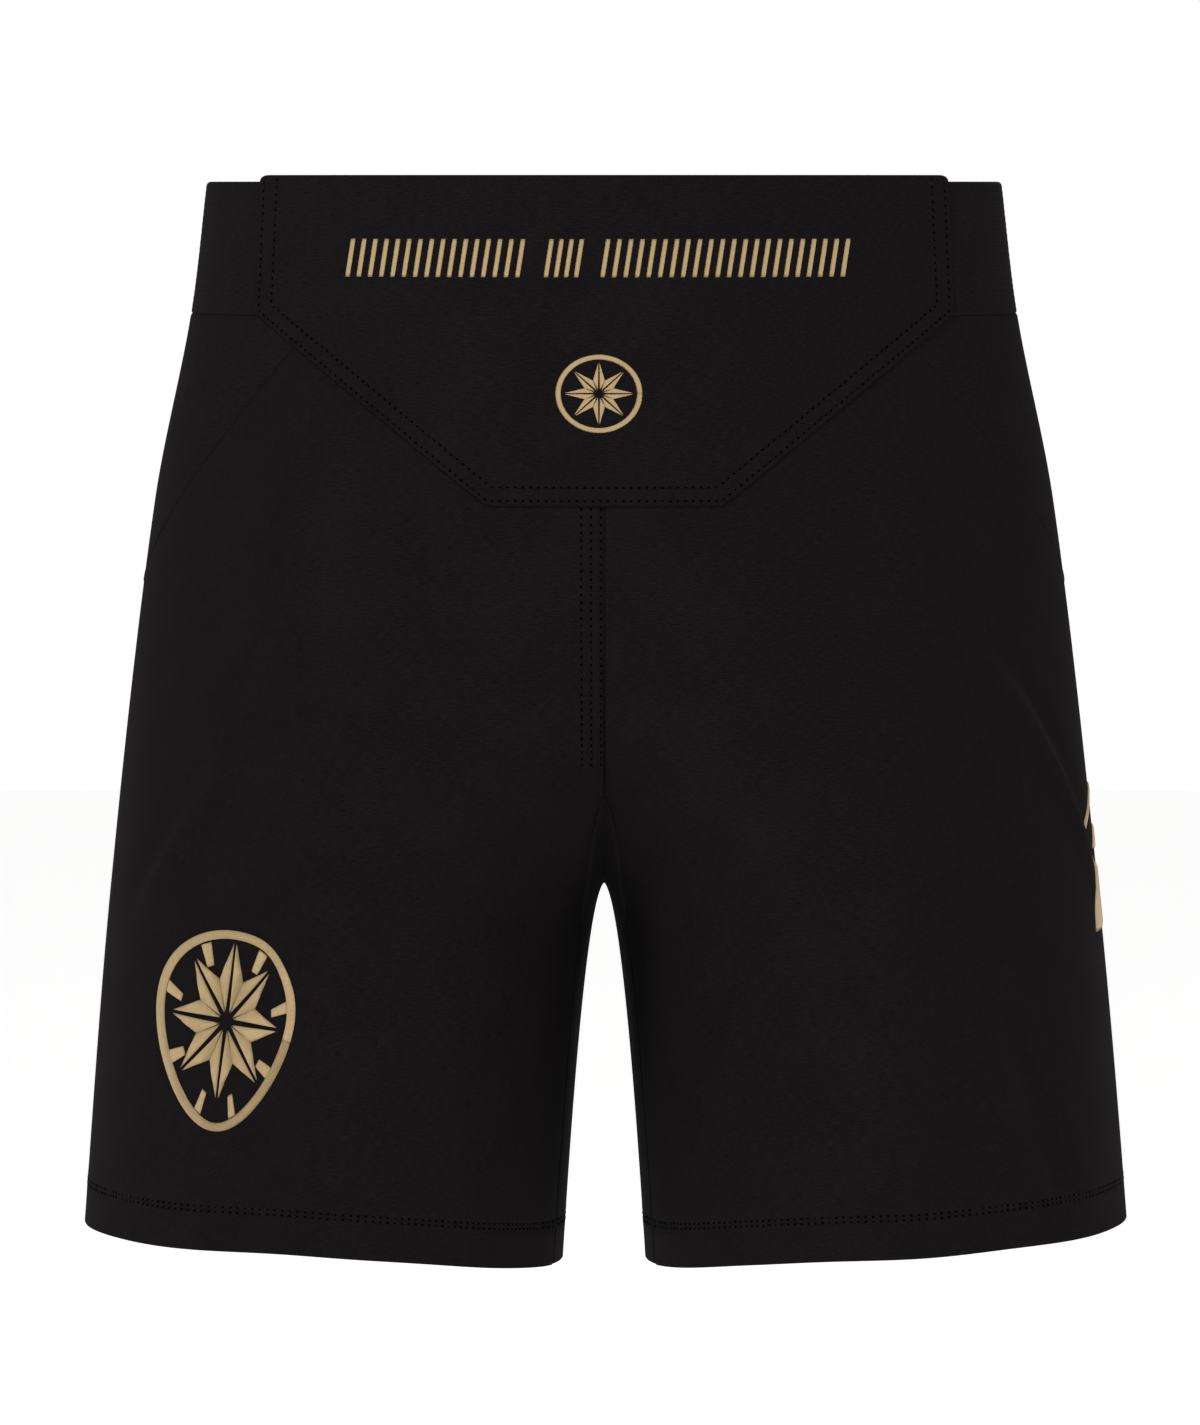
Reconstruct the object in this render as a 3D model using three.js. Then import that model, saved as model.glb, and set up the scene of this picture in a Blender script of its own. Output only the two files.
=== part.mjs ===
// Boxing shorts, standing open as if worn.
//
// Millimetres, +Z up. The origin is the centre of the waist opening, level with the top of
// the side waistbands. The seat faces -Y, the fly faces +Y, and +X is the wearer's right.
//
// Every cloth piece is a thin closed shell laid on one body surface: an oval at the waist
// that splits into two leg tubes at the crotch. Pieces that lie on each other are stacked
// outwards from that surface, and pieces sewn edge to edge leave a seam gap.

import * as THREE from 'three';

// ---- Driving dimensions ---------------------------------------------------------------

// Body surface: half widths, and depths behind (seat side) and ahead (fly side) of centre.
const WAIST_HALF_WIDTH = 154.6;
const WAIST_HALF_DEPTH = 105;
const BAND_HALF_WIDTH = WAIST_HALF_WIDTH + 6.3;
const BAND_BACK_DEPTH = 110;
const BAND_FRONT_DEPTH = 106.5;
const HIP_DROP = 124;
const HIP_HALF_WIDTH = WAIST_HALF_WIDTH + 20.7;
const HIP_BACK_DEPTH = 122;
const HIP_FRONT_DEPTH = 109;
const CROTCH_DROP = 273;
const CROTCH_HALF_WIDTH = WAIST_HALF_WIDTH + 38.9;
const CROTCH_BACK_DEPTH = 127;
const CROTCH_FRONT_DEPTH = 111;
const OUTSEAM = 403.8;
const HEM_HALF_WIDTH = WAIST_HALF_WIDTH + 52.7;
const HEM_DEPTH = 108;
const HEM_DIP = 16.8;              // how much lower the hem is at the inner thigh
const HEM_DIP_POWER = 3;           // how closely the dip keeps to the inner thigh
const LEG_GAP = 33.6;              // between the two hems
const LEG_GAP_POWER = 0.535;       // below 1, the gap opens as a round arch
const SPLIT_POWER = 4;             // how late the waist oval turns into two
const SPLIT_SETTLE = 1.5;          // above 1, each leg is settled when it meets the crotch

// Cloth and the space left between pieces.
const CLOTH = 0.8;
const LINING = 0.6;
const GAP = 0.55;                  // between layers whose facets differ
const FACE_GAP = 0.3;              // between layers cut alike
const SEAM_GAP = 0.36;
const CENTRE_GAP = 0.4;

// Waistband.
const BAND_HEIGHT = 51;
const ELASTIC_THICKNESS = 1.2;
const ELASTIC_MARGIN = 3;
const SIDE_BAND_START = 53.5;      // degrees round from the centre back, and from the fly

// Back yoke.
const YOKE_RISE = 2.3;
const YOKE_TOP_HALF = 0.8422 * WAIST_HALF_WIDTH;       // laps over the side waistbands
const YOKE_CORNER_HALF = 0.8222 * BAND_HALF_WIDTH;
const YOKE_CORNER_DROP = 50;
const YOKE_BOTTOM_HALF = 44.4;
const YOKE_DROP = 121;

// Hip panels: degrees either side of the side seam, and depth below the waistband.
const HIP_PANEL_REACH = 47.5;
const HIP_PANEL_DEPTH = 104;
const HIP_PANEL_CURVE = 1.42;

// Gusset.
const GUSSET_RISE = 40;
const GUSSET_SPREAD = 0.576;
const GUSSET_ARCH = 1.8;           // how the strip's middle rises from the crotch to its points
const GUSSET_ROW_POWER = 1.35;     // above 1, rows crowd towards its points

// Fly flap, its tapes and the shield behind the slit. x runs across the front.
const FLAP_HINGE_X = -58;
const FLAP_FREE_X = 62;
const FLAP_MARGIN = 11;
const FLAP_DROP = 112;
const FLAP_TOP_INSET = 0.6;
const FLAP_CHAMFER = 38;
const FLAP_LIFT_START = 6;
const FLAP_LIFT_END = 44;
const TAPE = 0.7;
const WAIST_TAPE_X = [8, 54];
const WAIST_TAPE_DROP = [7, 44];
const FLY_TAPE_X = [6, 30];
const FLY_TAPE_DROP = [56, 100];
const SHIELD_HALF_WIDTH = 32;
const SHIELD_DROP = 126;

// Marks.
const MARK_THICKNESS = 0.4;
const BAR_ROW_HALF = 94;
const BAR_HEIGHT = 14.5;
const BAR_ROW_DROP = 29;
const YOKE_EMBLEM_RADIUS = 16.4;
const YOKE_EMBLEM_DROP = 79.5;
const LEG_EMBLEM_X = -145.5;
const LEG_EMBLEM_DROP = 323.5;
const LEG_EMBLEM_HALF_WIDTH = 25.5;
const LEG_EMBLEM_HALF_HEIGHT = 39.5;
const LEG_EMBLEM_LEAN = 7;         // degrees
const SIDE_MARK_ANGLES = [71, 109];
const SIDE_MARK_DROP = [232, 295];
const LABEL_HALF_WIDTH = 22;
const LABEL_DROP = [12, 40];

// ---- Small helpers --------------------------------------------------------------------

const RAD = Math.PI / 180;
const mix = (a, b, t) => a + (b - a) * t;
const clamp = (v, low, high) => Math.min(high, Math.max(low, v));
const smooth = (t) => t * t * (3 - 2 * t);
const steps = (n) => Array.from({ length: n + 1 }, (_, i) => i / n);

// A smooth curve through stations of [drop, value], straight beyond both ends.
function through(stations) {
  const last = stations.length - 1;
  const slope = (i) => {
    const a = stations[Math.max(0, i - 1)];
    const b = stations[Math.min(last, i + 1)];
    return (b[1] - a[1]) / (b[0] - a[0]);
  };
  return (drop) => {
    if (drop <= stations[0][0]) return stations[0][1] + slope(0) * (drop - stations[0][0]);
    if (drop >= stations[last][0]) return stations[last][1] + slope(last) * (drop - stations[last][0]);
    const i = stations.findIndex((s, k) => k < last && drop < stations[k + 1][0]);
    const [d0, v0] = stations[i];
    const [d1, v1] = stations[i + 1];
    const h = d1 - d0;
    const t = (drop - d0) / h;
    const rise0 = slope(i) * h;
    const rise1 = slope(i + 1) * h;
    return v0 + rise0 * t + (3 * (v1 - v0) - 2 * rise0 - rise1) * t * t
      + (2 * (v0 - v1) + rise0 + rise1) * t * t * t;
  };
}

// ---- The body surface -----------------------------------------------------------------

const HEM_DROP = OUTSEAM + HEM_DIP;
const halfWidthAt = through([[0, WAIST_HALF_WIDTH], [BAND_HEIGHT, BAND_HALF_WIDTH],
  [HIP_DROP, HIP_HALF_WIDTH], [CROTCH_DROP, CROTCH_HALF_WIDTH], [HEM_DROP, HEM_HALF_WIDTH]]);
const backDepthAt = through([[0, WAIST_HALF_DEPTH], [BAND_HEIGHT, BAND_BACK_DEPTH],
  [HIP_DROP, HIP_BACK_DEPTH], [CROTCH_DROP, CROTCH_BACK_DEPTH], [HEM_DROP, HEM_DEPTH]]);
const frontDepthAt = through([[0, WAIST_HALF_DEPTH], [BAND_HEIGHT, BAND_FRONT_DEPTH],
  [HIP_DROP, HIP_FRONT_DEPTH], [CROTCH_DROP, CROTCH_FRONT_DEPTH], [HEM_DROP, HEM_DEPTH]]);

// The oval of one half at a height: its centre and half width. Above the crotch the two
// ovals overlap and only their outer parts are used; below it they part to leave the gap.
function ovalAt(z) {
  const outer = halfWidthAt(-z) - CLOTH;
  const belowCrotch = -z - CROTCH_DROP;
  if (belowCrotch > 0) {
    const inner = (LEG_GAP / 2) * (belowCrotch / (HEM_DROP - CROTCH_DROP)) ** LEG_GAP_POWER;
    return { centre: (outer + inner) / 2, radius: (outer - inner) / 2 };
  }
  const split = clamp(-z / CROTCH_DROP, 0, 1);
  const ratio = 1 - (1 - split ** SPLIT_POWER) ** SPLIT_SETTLE;
  const radius = outer / (1 + ratio);
  return { centre: ratio * radius, radius };
}

// angle: 0 at the seat, 90 at the side, 180 at the fly, -90 at the inner thigh.
function basePoint(side, angle, z) {
  const { centre, radius } = ovalAt(z);
  const a = angle * RAD;
  const depth = Math.cos(a) > 0 ? backDepthAt(-z) : frontDepthAt(-z);
  return new THREE.Vector3(side * (centre + radius * Math.sin(a)), -(depth - CLOTH) * Math.cos(a), z);
}

function baseNormal(side, angle, z) {
  const round = basePoint(side, angle + 0.05, z).sub(basePoint(side, angle - 0.05, z));
  const up = basePoint(side, angle, z + 0.05).sub(basePoint(side, angle, z - 0.05));
  return round.cross(up).normalize().multiplyScalar(side);
}

// A point of one half, a given way off the surface, kept on its own side of the centre.
function halfPoint(side, angle, z, off) {
  const p = basePoint(side, angle, z).addScaledVector(baseNormal(side, angle, z), off);
  if (side * p.x < CENTRE_GAP / 2) p.x = side * CENTRE_GAP / 2;
  return p;
}

const angleAtX = (x, z) => {
  const { centre, radius } = ovalAt(z);
  return Math.asin(clamp((Math.abs(x) - centre) / radius, -1, 1)) / RAD;
};

// The same by distance across the back or the front, for pieces that cross the centre.
function facePoint(face, x, z, off) {
  const side = x < 0 ? -1 : 1;
  const round = angleAtX(x, z);
  const angle = face === 'back' ? round : 180 - round;
  const normal = baseNormal(side, angle, z);
  if (Math.abs(x) < 1e-6) normal.x = 0;
  return basePoint(side, angle, z).addScaledVector(normal, off);
}

// The angle of the centre seam, where a half meets the plane x = 0.
const centreAngle = (z) => (-z >= CROTCH_DROP ? -90 : angleAtX(0, z));

// ---- Solids ---------------------------------------------------------------------------

function closedMesh(name, points, faces, material) {
  let volume = 0;
  for (const [a, b, c] of faces) {
    volume += points[a].dot(new THREE.Vector3().crossVectors(points[b], points[c]));
  }
  const order = volume < 0 ? ([a, b, c]) => [a, c, b] : (face) => face;
  const geometry = new THREE.BufferGeometry();
  geometry.setAttribute('position',
    new THREE.Float32BufferAttribute(points.flatMap((p) => [p.x, p.y, p.z]), 3));
  geometry.setIndex(faces.map(order).flat());
  geometry.computeVertexNormals();
  const mesh = new THREE.Mesh(geometry, material);
  mesh.name = name;
  return mesh;
}

// A shell between two equal grids of points, closed round its rim.
function shell(name, outer, inner, material) {
  const points = [...outer.flat(), ...inner.flat()];
  return closedMesh(name, points, shellFaces(outer.length, outer[0].length, 0), material);
}

function shellFaces(columns, rows, first) {
  const top = (i, j) => first + i * rows + j;
  const under = (i, j) => first + columns * rows + i * rows + j;
  const faces = [];
  const quad = (a, b, c, d) => faces.push([a, b, c], [a, c, d]);
  for (let i = 0; i < columns - 1; i += 1) {
    for (let j = 0; j < rows - 1; j += 1) {
      quad(top(i, j), top(i + 1, j), top(i + 1, j + 1), top(i, j + 1));
      quad(under(i, j), under(i, j + 1), under(i + 1, j + 1), under(i + 1, j));
    }
    quad(top(i, 0), under(i, 0), under(i + 1, 0), top(i + 1, 0));
    quad(top(i, rows - 1), top(i + 1, rows - 1), under(i + 1, rows - 1), under(i, rows - 1));
  }
  for (let j = 0; j < rows - 1; j += 1) {
    quad(top(0, j), top(0, j + 1), under(0, j + 1), under(0, j));
    quad(top(columns - 1, j), under(columns - 1, j), under(columns - 1, j + 1), top(columns - 1, j + 1));
  }
  return faces;
}

// A shell from a placing function (u, v, off) -> point, between two offsets.
function layer(name, us, vs, place, [low, high], material) {
  const grid = (off) => us.map((u) => vs.map((v) => place(u, v, off)));
  return shell(name, grid(high), grid(low), material);
}

// ---- Materials ------------------------------------------------------------------------

const cloth = new THREE.MeshStandardMaterial({ color: 0x1b191a, roughness: 0.85 });
const bandCloth = new THREE.MeshStandardMaterial({ color: 0x1d1b1c, roughness: 0.85 });
const liningCloth = new THREE.MeshStandardMaterial({ color: 0x151414, roughness: 0.9 });
const elasticWeb = new THREE.MeshStandardMaterial({ color: 0x242324, roughness: 0.9 });
const hookTape = new THREE.MeshStandardMaterial({ color: 0x101010, roughness: 0.6 });
const loopTape = new THREE.MeshStandardMaterial({ color: 0x161616, roughness: 1 });
const goldPrint = new THREE.MeshStandardMaterial({ color: 0xc0a070, roughness: 0.55 });
const labelCloth = new THREE.MeshStandardMaterial({ color: 0x2a2829, roughness: 0.8 });

// ---- Layers, as offsets from the body surface -----------------------------------------

const PANEL = [0, CLOTH];
const FACING = [-GAP - CLOTH, -GAP];
const LABEL = [FACING[0] - GAP - MARK_THICKNESS, FACING[0] - GAP];
const ELASTIC = [-GAP - ELASTIC_THICKNESS, -GAP];
const SIDE_FACING = [ELASTIC[0] - GAP - CLOTH, ELASTIC[0] - GAP];
const YOKE = [CLOTH + GAP, 2 * CLOTH + GAP];
const YOKE_MARK = [YOKE[1] + GAP, YOKE[1] + GAP + MARK_THICKNESS];
const PANEL_MARK = [CLOTH + GAP, CLOTH + GAP + MARK_THICKNESS];
const LOOP = [CLOTH + GAP, CLOTH + GAP + TAPE];
const HOOK = [LOOP[1] + FACE_GAP, LOOP[1] + FACE_GAP + TAPE];
const FLAP_LIFT = HOOK[1] - CLOTH;
const FLAP_FACING = [CLOTH + GAP, CLOTH + GAP + LINING];
const FLAP_OUTER = [FLAP_FACING[1] + FACE_GAP, FLAP_FACING[1] + FACE_GAP + CLOTH];

const sides = [['right', 1], ['left', -1]];
const group = new THREE.Group();

// ---- Waistband ------------------------------------------------------------------------

const bandRows = steps(3);
const bandZ = (v) => mix(0, -BAND_HEIGHT, v);
const seamAngle = (SEAM_GAP / 2 / WAIST_HALF_DEPTH) / RAD;

function backBand(name, offsets, topInset, material) {
  const reach = SIDE_BAND_START - seamAngle;
  const place = (u, v, off) => {
    const angle = mix(-reach, reach, u);
    const z = mix(-topInset, -BAND_HEIGHT, v);
    return basePoint(Math.sign(angle) || 1, Math.abs(angle), z)
      .addScaledVector(baseNormal(Math.sign(angle) || 1, Math.abs(angle), z), off);
  };
  return layer(name, steps(34), bandRows, place, offsets, material);
}
group.add(backBand('back_waistband_interlining', PANEL, 1, liningCloth));
group.add(backBand('back_waistband_facing', FACING, 0, liningCloth));

for (const [word, side] of sides) {
  const sidePlace = (inset, margin) => (u, v, off) => {
    const angle = mix(SIDE_BAND_START + inset, 180 - SIDE_BAND_START - inset, u);
    return halfPoint(side, angle, mix(-margin, -BAND_HEIGHT + margin, v), off);
  };
  const columns = steps(14);
  group.add(layer(`side_waistband_${word}`, columns, bandRows, sidePlace(seamAngle, 0), PANEL, bandCloth));
  group.add(layer(`waist_elastic_${word}`, columns, bandRows,
    sidePlace(1, ELASTIC_MARGIN), ELASTIC, elasticWeb));
  group.add(layer(`side_waistband_facing_${word}`, columns, bandRows,
    sidePlace(seamAngle, 0), SIDE_FACING, liningCloth));

  const frontPlace = (u, v, off) => {
    const z = bandZ(v);
    const start = 180 - SIDE_BAND_START + seamAngle;
    return halfPoint(side, mix(start, 180 - angleAtX(CENTRE_GAP / 2, z), u), z, off);
  };
  group.add(layer(`front_waistband_${word}`, steps(10), bandRows, frontPlace, PANEL, bandCloth));
  group.add(layer(`front_waistband_facing_${word}`, steps(10), bandRows, frontPlace, FACING, liningCloth));
}

const labelPlace = (u, v, off) => facePoint('back', mix(-LABEL_HALF_WIDTH, LABEL_HALF_WIDTH, u),
  -mix(LABEL_DROP[0], LABEL_DROP[1], v), off);
group.add(layer('waist_label', steps(6), steps(2), labelPlace, LABEL, labelCloth));

// ---- Leg and hip panels ---------------------------------------------------------------

const panelTop = -(BAND_HEIGHT + SEAM_GAP);
const hemZ = (angle) => -OUTSEAM - HEM_DIP
  * ((1 - Math.sin(angle * RAD)) / 2) ** HEM_DIP_POWER;

// How far the hip panel reaches down at an angle; both neighbours use the same curve.
function hipCurve(angle) {
  const away = Math.abs(90 - angle) / HIP_PANEL_REACH;
  return away >= 1 ? 0 : HIP_PANEL_DEPTH * (1 - away ** HIP_PANEL_CURVE);
}

// The gusset seam: how far it lies from the centre plane, and its angle on the leg.
const gussetTop = -(CROTCH_DROP - GUSSET_RISE);
const gussetX = (z) => Math.max(0, gussetTop - z) ** GUSSET_SPREAD;
const gussetAngle = (z) => angleAtX(Math.max(gussetX(z), CENTRE_GAP / 2), z);
const innerAngle = (z) => (z > gussetTop ? angleAtX(CENTRE_GAP / 2, z) : gussetAngle(z));

// Heights of the rows down the centre seam and the gusset seam, shared by both pieces.
const seatRows = steps(6).map((t) => mix(panelTop, gussetTop, t));
const gussetRows = steps(11).map((t) => {
  const hem = hemZ(-72);
  return mix(gussetTop, hem, t ** GUSSET_ROW_POWER);
});
const seamRows = [...seatRows, ...gussetRows.slice(1)];
const rowShare = seamRows.map((z) => (z - panelTop) / (seamRows.at(-1) - panelTop));

const startAngle = 90 - HIP_PANEL_REACH;
const underYoke = steps(9).map((t) => mix(0, startAngle, t));
const underHip = steps(8).slice(1).map((t) => mix(startAngle, 90, t));
const columnAngles = [...underYoke, ...underHip];

// A leg panel column that starts at a given angle at the top keeps its share of the way
// from the inner edge to the side seam all the way down.
function legPanel(name, side, front, material) {
  const share = (top, topZ) => (top - innerAngle(topZ)) / (90 - innerAngle(topZ));
  const place = (top, j, off) => {
    const drop = hipCurve(top);
    const seamInset = drop > 0 ? SEAM_GAP : 0;
    const topZ = panelTop - drop - seamInset;
    const along = clamp(share(top, topZ), 0, 1);
    const angleAt = (z) => {
      const inner = innerAngle(z) + (z < gussetTop ? seamAngle : 0);
      return mix(inner, 90 - seamAngle, along);
    };
    let z = mix(topZ, hemZ(0), rowShare[j]);
    for (let pass = 0; pass < 6; pass += 1) {
      const bottom = along === 0 ? seamRows.at(-1) : hemZ(angleAt(z));
      z = mix(topZ, bottom, rowShare[j]);
    }
    const angle = angleAt(z);
    return halfPoint(side, front ? 180 - angle : angle, z, off);
  };
  return layer(name, columnAngles, rowShare.map((_, j) => j), place, PANEL, material);
}

function hipPanel(name, side) {
  const ends = HIP_PANEL_REACH - 1.5;
  const angles = [90 - ends, ...underHip.slice(0, -1), 90];
  const all = [...angles, ...angles.slice(0, -1).reverse().map((a) => 180 - a)];
  const place = (angle, v, off) => {
    const bottom = panelTop - hipCurve(angle) + SEAM_GAP / 2;
    return halfPoint(side, angle, mix(panelTop, bottom, v), off);
  };
  return layer(name, all, steps(6), place, PANEL, cloth);
}

for (const [word, side] of sides) {
  group.add(legPanel(`back_panel_${word}`, side, false, cloth));
  group.add(legPanel(`front_panel_${word}`, side, true, cloth));
  group.add(hipPanel(`hip_panel_${word}`, side));
}

// ---- Gusset ---------------------------------------------------------------------------

// One strip from hem to hem through the crotch. Each half is stretched between its four
// edges: the centre line, the two seams and the hem.
function gusset(material) {
  const across = steps(12).map((t) => mix(-1, 1, t));
  const turn = (p, angle) => (p > 0 ? 180 - angle : angle);
  const seamEdge = (p, z) => basePoint(1, turn(p, gussetAngle(z) - seamAngle), z);
  const hemAngle = gussetAngle(gussetRows.at(-1)) - seamAngle;
  const hemEdge = (p) => {
    const angle = mix(-90, hemAngle, Math.abs(p));
    return basePoint(1, turn(p, angle), mix(hemZ(-90), gussetRows.at(-1), Math.abs(p)));
  };
  const centreEdge = (p) => {
    const z = -CROTCH_DROP + GUSSET_RISE * Math.abs(p) ** GUSSET_ARCH;
    const point = basePoint(1, turn(p, centreAngle(z)), z);
    point.x = 0;
    return point;
  };
  const innerEdge = (z) => basePoint(1, -90, z);

  const halfGrid = across.map((p) => gussetRows.map((seamZ, j) => {
    const share = (seamZ - gussetTop) / (gussetRows.at(-1) - gussetTop);
    const a = Math.abs(p);
    const innerZ = mix(-CROTCH_DROP, hemZ(-90), share);
    const point = new THREE.Vector3();
    point.addScaledVector(centreEdge(p), 1 - share).addScaledVector(hemEdge(p), share);
    point.addScaledVector(innerEdge(innerZ), 1 - a).addScaledVector(seamEdge(p, seamZ), a);
    const corner = (s, w) => point.addScaledVector(s, -w);
    corner(centreEdge(0), (1 - a) * (1 - share));
    corner(hemEdge(0), (1 - a) * share);
    corner(centreEdge(Math.sign(p) || 1), a * (1 - share));
    corner(hemEdge(Math.sign(p) || 1), a * share);
    if (j === 0) point.x = 0;
    return point;
  }));

  const mirror = (p) => new THREE.Vector3(-p.x, p.y, p.z);
  const mid = halfGrid.map((column) => [...column.slice(1).reverse().map(mirror), ...column]);
  const centreRow = gussetRows.length - 1;
  const normals = mid.map((column, i) => column.map((_, j) => {
    const right = mid[Math.min(i + 1, mid.length - 1)][j].clone().sub(mid[Math.max(i - 1, 0)][j]);
    const down = mid[i][Math.min(j + 1, column.length - 1)].clone().sub(mid[i][Math.max(j - 1, 0)]);
    const normal = right.cross(down).normalize();
    if (Math.abs(across[i]) < 1) return normal;
    // Along the seams both pieces lean the same way, so that their edges stay parallel.
    const row = Math.abs(j - centreRow);
    const seam = baseNormal(1, turn(across[i], gussetAngle(gussetRows[row])), gussetRows[row]);
    if (row === 0) return seam.setX(0).normalize();
    return j < centreRow ? mirror(seam) : seam;
  }));
  const raise = (off) => mid.map((column, i) => column.map((p, j) =>
    p.clone().addScaledVector(normals[i][j], off)));
  return shell('crotch_gusset', raise(CLOTH), raise(0), material);
}
group.add(gusset(cloth));

// ---- Back yoke ------------------------------------------------------------------------

// The yoke's lower edge: flat in the middle, then straight up to the waistband corners.
function yokeBottom(share) {
  const x = Math.abs(share) * YOKE_CORNER_HALF;
  const up = clamp((x - YOKE_BOTTOM_HALF) / (YOKE_CORNER_HALF - YOKE_BOTTOM_HALF), 0, 1);
  return -mix(YOKE_DROP, YOKE_CORNER_DROP, up);
}
const flatShare = YOKE_BOTTOM_HALF / YOKE_CORNER_HALF;
const yokeHalfColumns = [...steps(3).map((t) => t * flatShare),
  ...steps(10).slice(1).map((t) => mix(flatShare, 1, t))];
const yokeColumns = [...yokeHalfColumns.slice(1).reverse().map((s) => -s), ...yokeHalfColumns];

function yokePlace(share, v, off) {
  const z = mix(YOKE_RISE, yokeBottom(share), v);
  const taper = clamp((YOKE_RISE - z) / (YOKE_RISE + YOKE_CORNER_DROP), 0, 1);
  return facePoint('back', share * mix(YOKE_TOP_HALF, YOKE_CORNER_HALF, taper), z, off);
}
group.add(layer('back_yoke', yokeColumns, steps(8), yokePlace, YOKE, cloth));

// ---- Fly: shield, tapes and the hinged flap ----------------------------------------------

const shieldPlace = (u, v, off) => facePoint('front', mix(-SHIELD_HALF_WIDTH, SHIELD_HALF_WIDTH, u),
  mix(panelTop, -SHIELD_DROP, v), off);
group.add(layer('fly_shield', steps(6), steps(5), shieldPlace, FACING, liningCloth));

const tapePlace = (xs, drops) => (u, v, off) =>
  facePoint('front', mix(xs[0], xs[1], u), -mix(drops[0], drops[1], v), off);
const waistTape = tapePlace(WAIST_TAPE_X, WAIST_TAPE_DROP);
const flyTape = tapePlace(FLY_TAPE_X, FLY_TAPE_DROP);
group.add(layer('waist_loop_tape', steps(5), steps(3), waistTape, LOOP, loopTape));
group.add(layer('fly_loop_tape', steps(3), steps(4), flyTape, LOOP, loopTape));
group.add(layer('waist_hook_tape', steps(5), steps(3), waistTape, HOOK, hookTape));
group.add(layer('fly_hook_tape', steps(3), steps(4), flyTape, HOOK, hookTape));

// The flap rises off the front between its sewn edge and the tapes that it closes on.
const flapLift = (x) => {
  const along = (x - FLAP_HINGE_X - FLAP_LIFT_START) / (FLAP_LIFT_END - FLAP_LIFT_START);
  return FLAP_LIFT * smooth(clamp(along, 0, 1));
};
const flapXs = [...steps(9).map((t) => mix(FLAP_HINGE_X, FLAP_FREE_X - FLAP_CHAMFER, t)),
  ...steps(4).slice(1).map((t) => mix(FLAP_FREE_X - FLAP_CHAMFER, FLAP_FREE_X, t))];
function flapPlace(x, v, off) {
  const cut = Math.max(0, x - (FLAP_FREE_X - FLAP_CHAMFER));
  const z = mix(-FLAP_TOP_INSET, -FLAP_DROP + cut, v);
  return facePoint('front', x, z, off + flapLift(x));
}
group.add(layer('fly_flap_facing', flapXs, steps(6), flapPlace, FLAP_FACING, liningCloth));
group.add(layer('fly_flap', flapXs, steps(6), flapPlace, FLAP_OUTER, cloth));

const marginPlace = (u, v, off) => facePoint('front',
  mix(FLAP_HINGE_X - FLAP_MARGIN, FLAP_HINGE_X - CENTRE_GAP, u),
  mix(-FLAP_TOP_INSET, -FLAP_DROP, v), off);
group.add(layer('fly_flap_sewn_margin', steps(2), steps(6), marginPlace, YOKE, cloth));

// ---- Marks ----------------------------------------------------------------------------

// The row of printed bars, as the one transfer that carries them.
const barPlace = (u, v, off) => facePoint('back', mix(-BAR_ROW_HALF, BAR_ROW_HALF, u),
  -BAR_ROW_DROP + (0.5 - v) * BAR_HEIGHT, off);
group.add(layer('yoke_bar_print', steps(16), steps(1), barPlace, YOKE_MARK, goldPrint));

// An oval patch: rings of points about a hub, closed by a rim.
function ovalPatch(name, place, offsets, material) {
  const rings = 2;
  const spokes = 24;
  const points = [];
  const faces = [];
  for (const off of [offsets[1], offsets[0]]) {
    points.push(place(0, 0, off));
    for (let r = 1; r <= rings; r += 1) {
      for (let s = 0; s < spokes; s += 1) {
        const a = (2 * Math.PI * s) / spokes;
        points.push(place((Math.cos(a) * r) / rings, (Math.sin(a) * r) / rings, off));
      }
    }
  }
  const under = 1 + rings * spokes;
  const at = (r, s) => (r === 0 ? 0 : 1 + (r - 1) * spokes + (s % spokes));
  for (let s = 0; s < spokes; s += 1) {
    faces.push([0, at(1, s), at(1, s + 1)], [under, under + at(1, s + 1), under + at(1, s)]);
    for (let r = 1; r < rings; r += 1) {
      const ring = [at(r, s), at(r + 1, s), at(r + 1, s + 1), at(r, s + 1)];
      faces.push([ring[0], ring[1], ring[2]], [ring[0], ring[2], ring[3]]);
      const below = ring.map((k) => k + under);
      faces.push([below[0], below[2], below[1]], [below[0], below[3], below[2]]);
    }
    const rim = [at(rings, s), at(rings, s + 1)];
    faces.push([rim[0], rim[0] + under, rim[1]], [rim[1], rim[0] + under, rim[1] + under]);
  }
  return closedMesh(name, points, faces, material);
}

const yokeEmblemPlace = (u, v, off) => facePoint('back', YOKE_EMBLEM_RADIUS * u,
  -YOKE_EMBLEM_DROP + YOKE_EMBLEM_RADIUS * v, off);
group.add(ovalPatch('yoke_emblem', yokeEmblemPlace, YOKE_MARK, goldPrint));

const lean = LEG_EMBLEM_LEAN * RAD;
const legEmblemPlace = (u, v, off) => {
  const across = u * LEG_EMBLEM_HALF_WIDTH;
  const up = v * LEG_EMBLEM_HALF_HEIGHT;
  return facePoint('back', LEG_EMBLEM_X + across * Math.cos(lean) + up * Math.sin(lean),
    -LEG_EMBLEM_DROP + up * Math.cos(lean) - across * Math.sin(lean), off);
};
group.add(ovalPatch('leg_emblem', legEmblemPlace, PANEL_MARK, goldPrint));

const sideMarkPlace = (u, v, off) => halfPoint(1,
  mix(SIDE_MARK_ANGLES[0], SIDE_MARK_ANGLES[1], (1 + u) / 2),
  -mix(SIDE_MARK_DROP[0], SIDE_MARK_DROP[1], (1 - v) / 2), off);
group.add(ovalPatch('side_emblem', sideMarkPlace, PANEL_MARK, goldPrint));

export default group;
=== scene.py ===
# %% [markdown]
# # Black boxing shorts with gold marks
#
# The shorts stand open and filled, as on a hidden form, seen from the seat side. Every cloth
# piece is a sheet laid on one body surface, so neighbouring pieces meet exactly at their
# seams. The first cell loads the imported model's parts.

# %% The frame
import math

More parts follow.
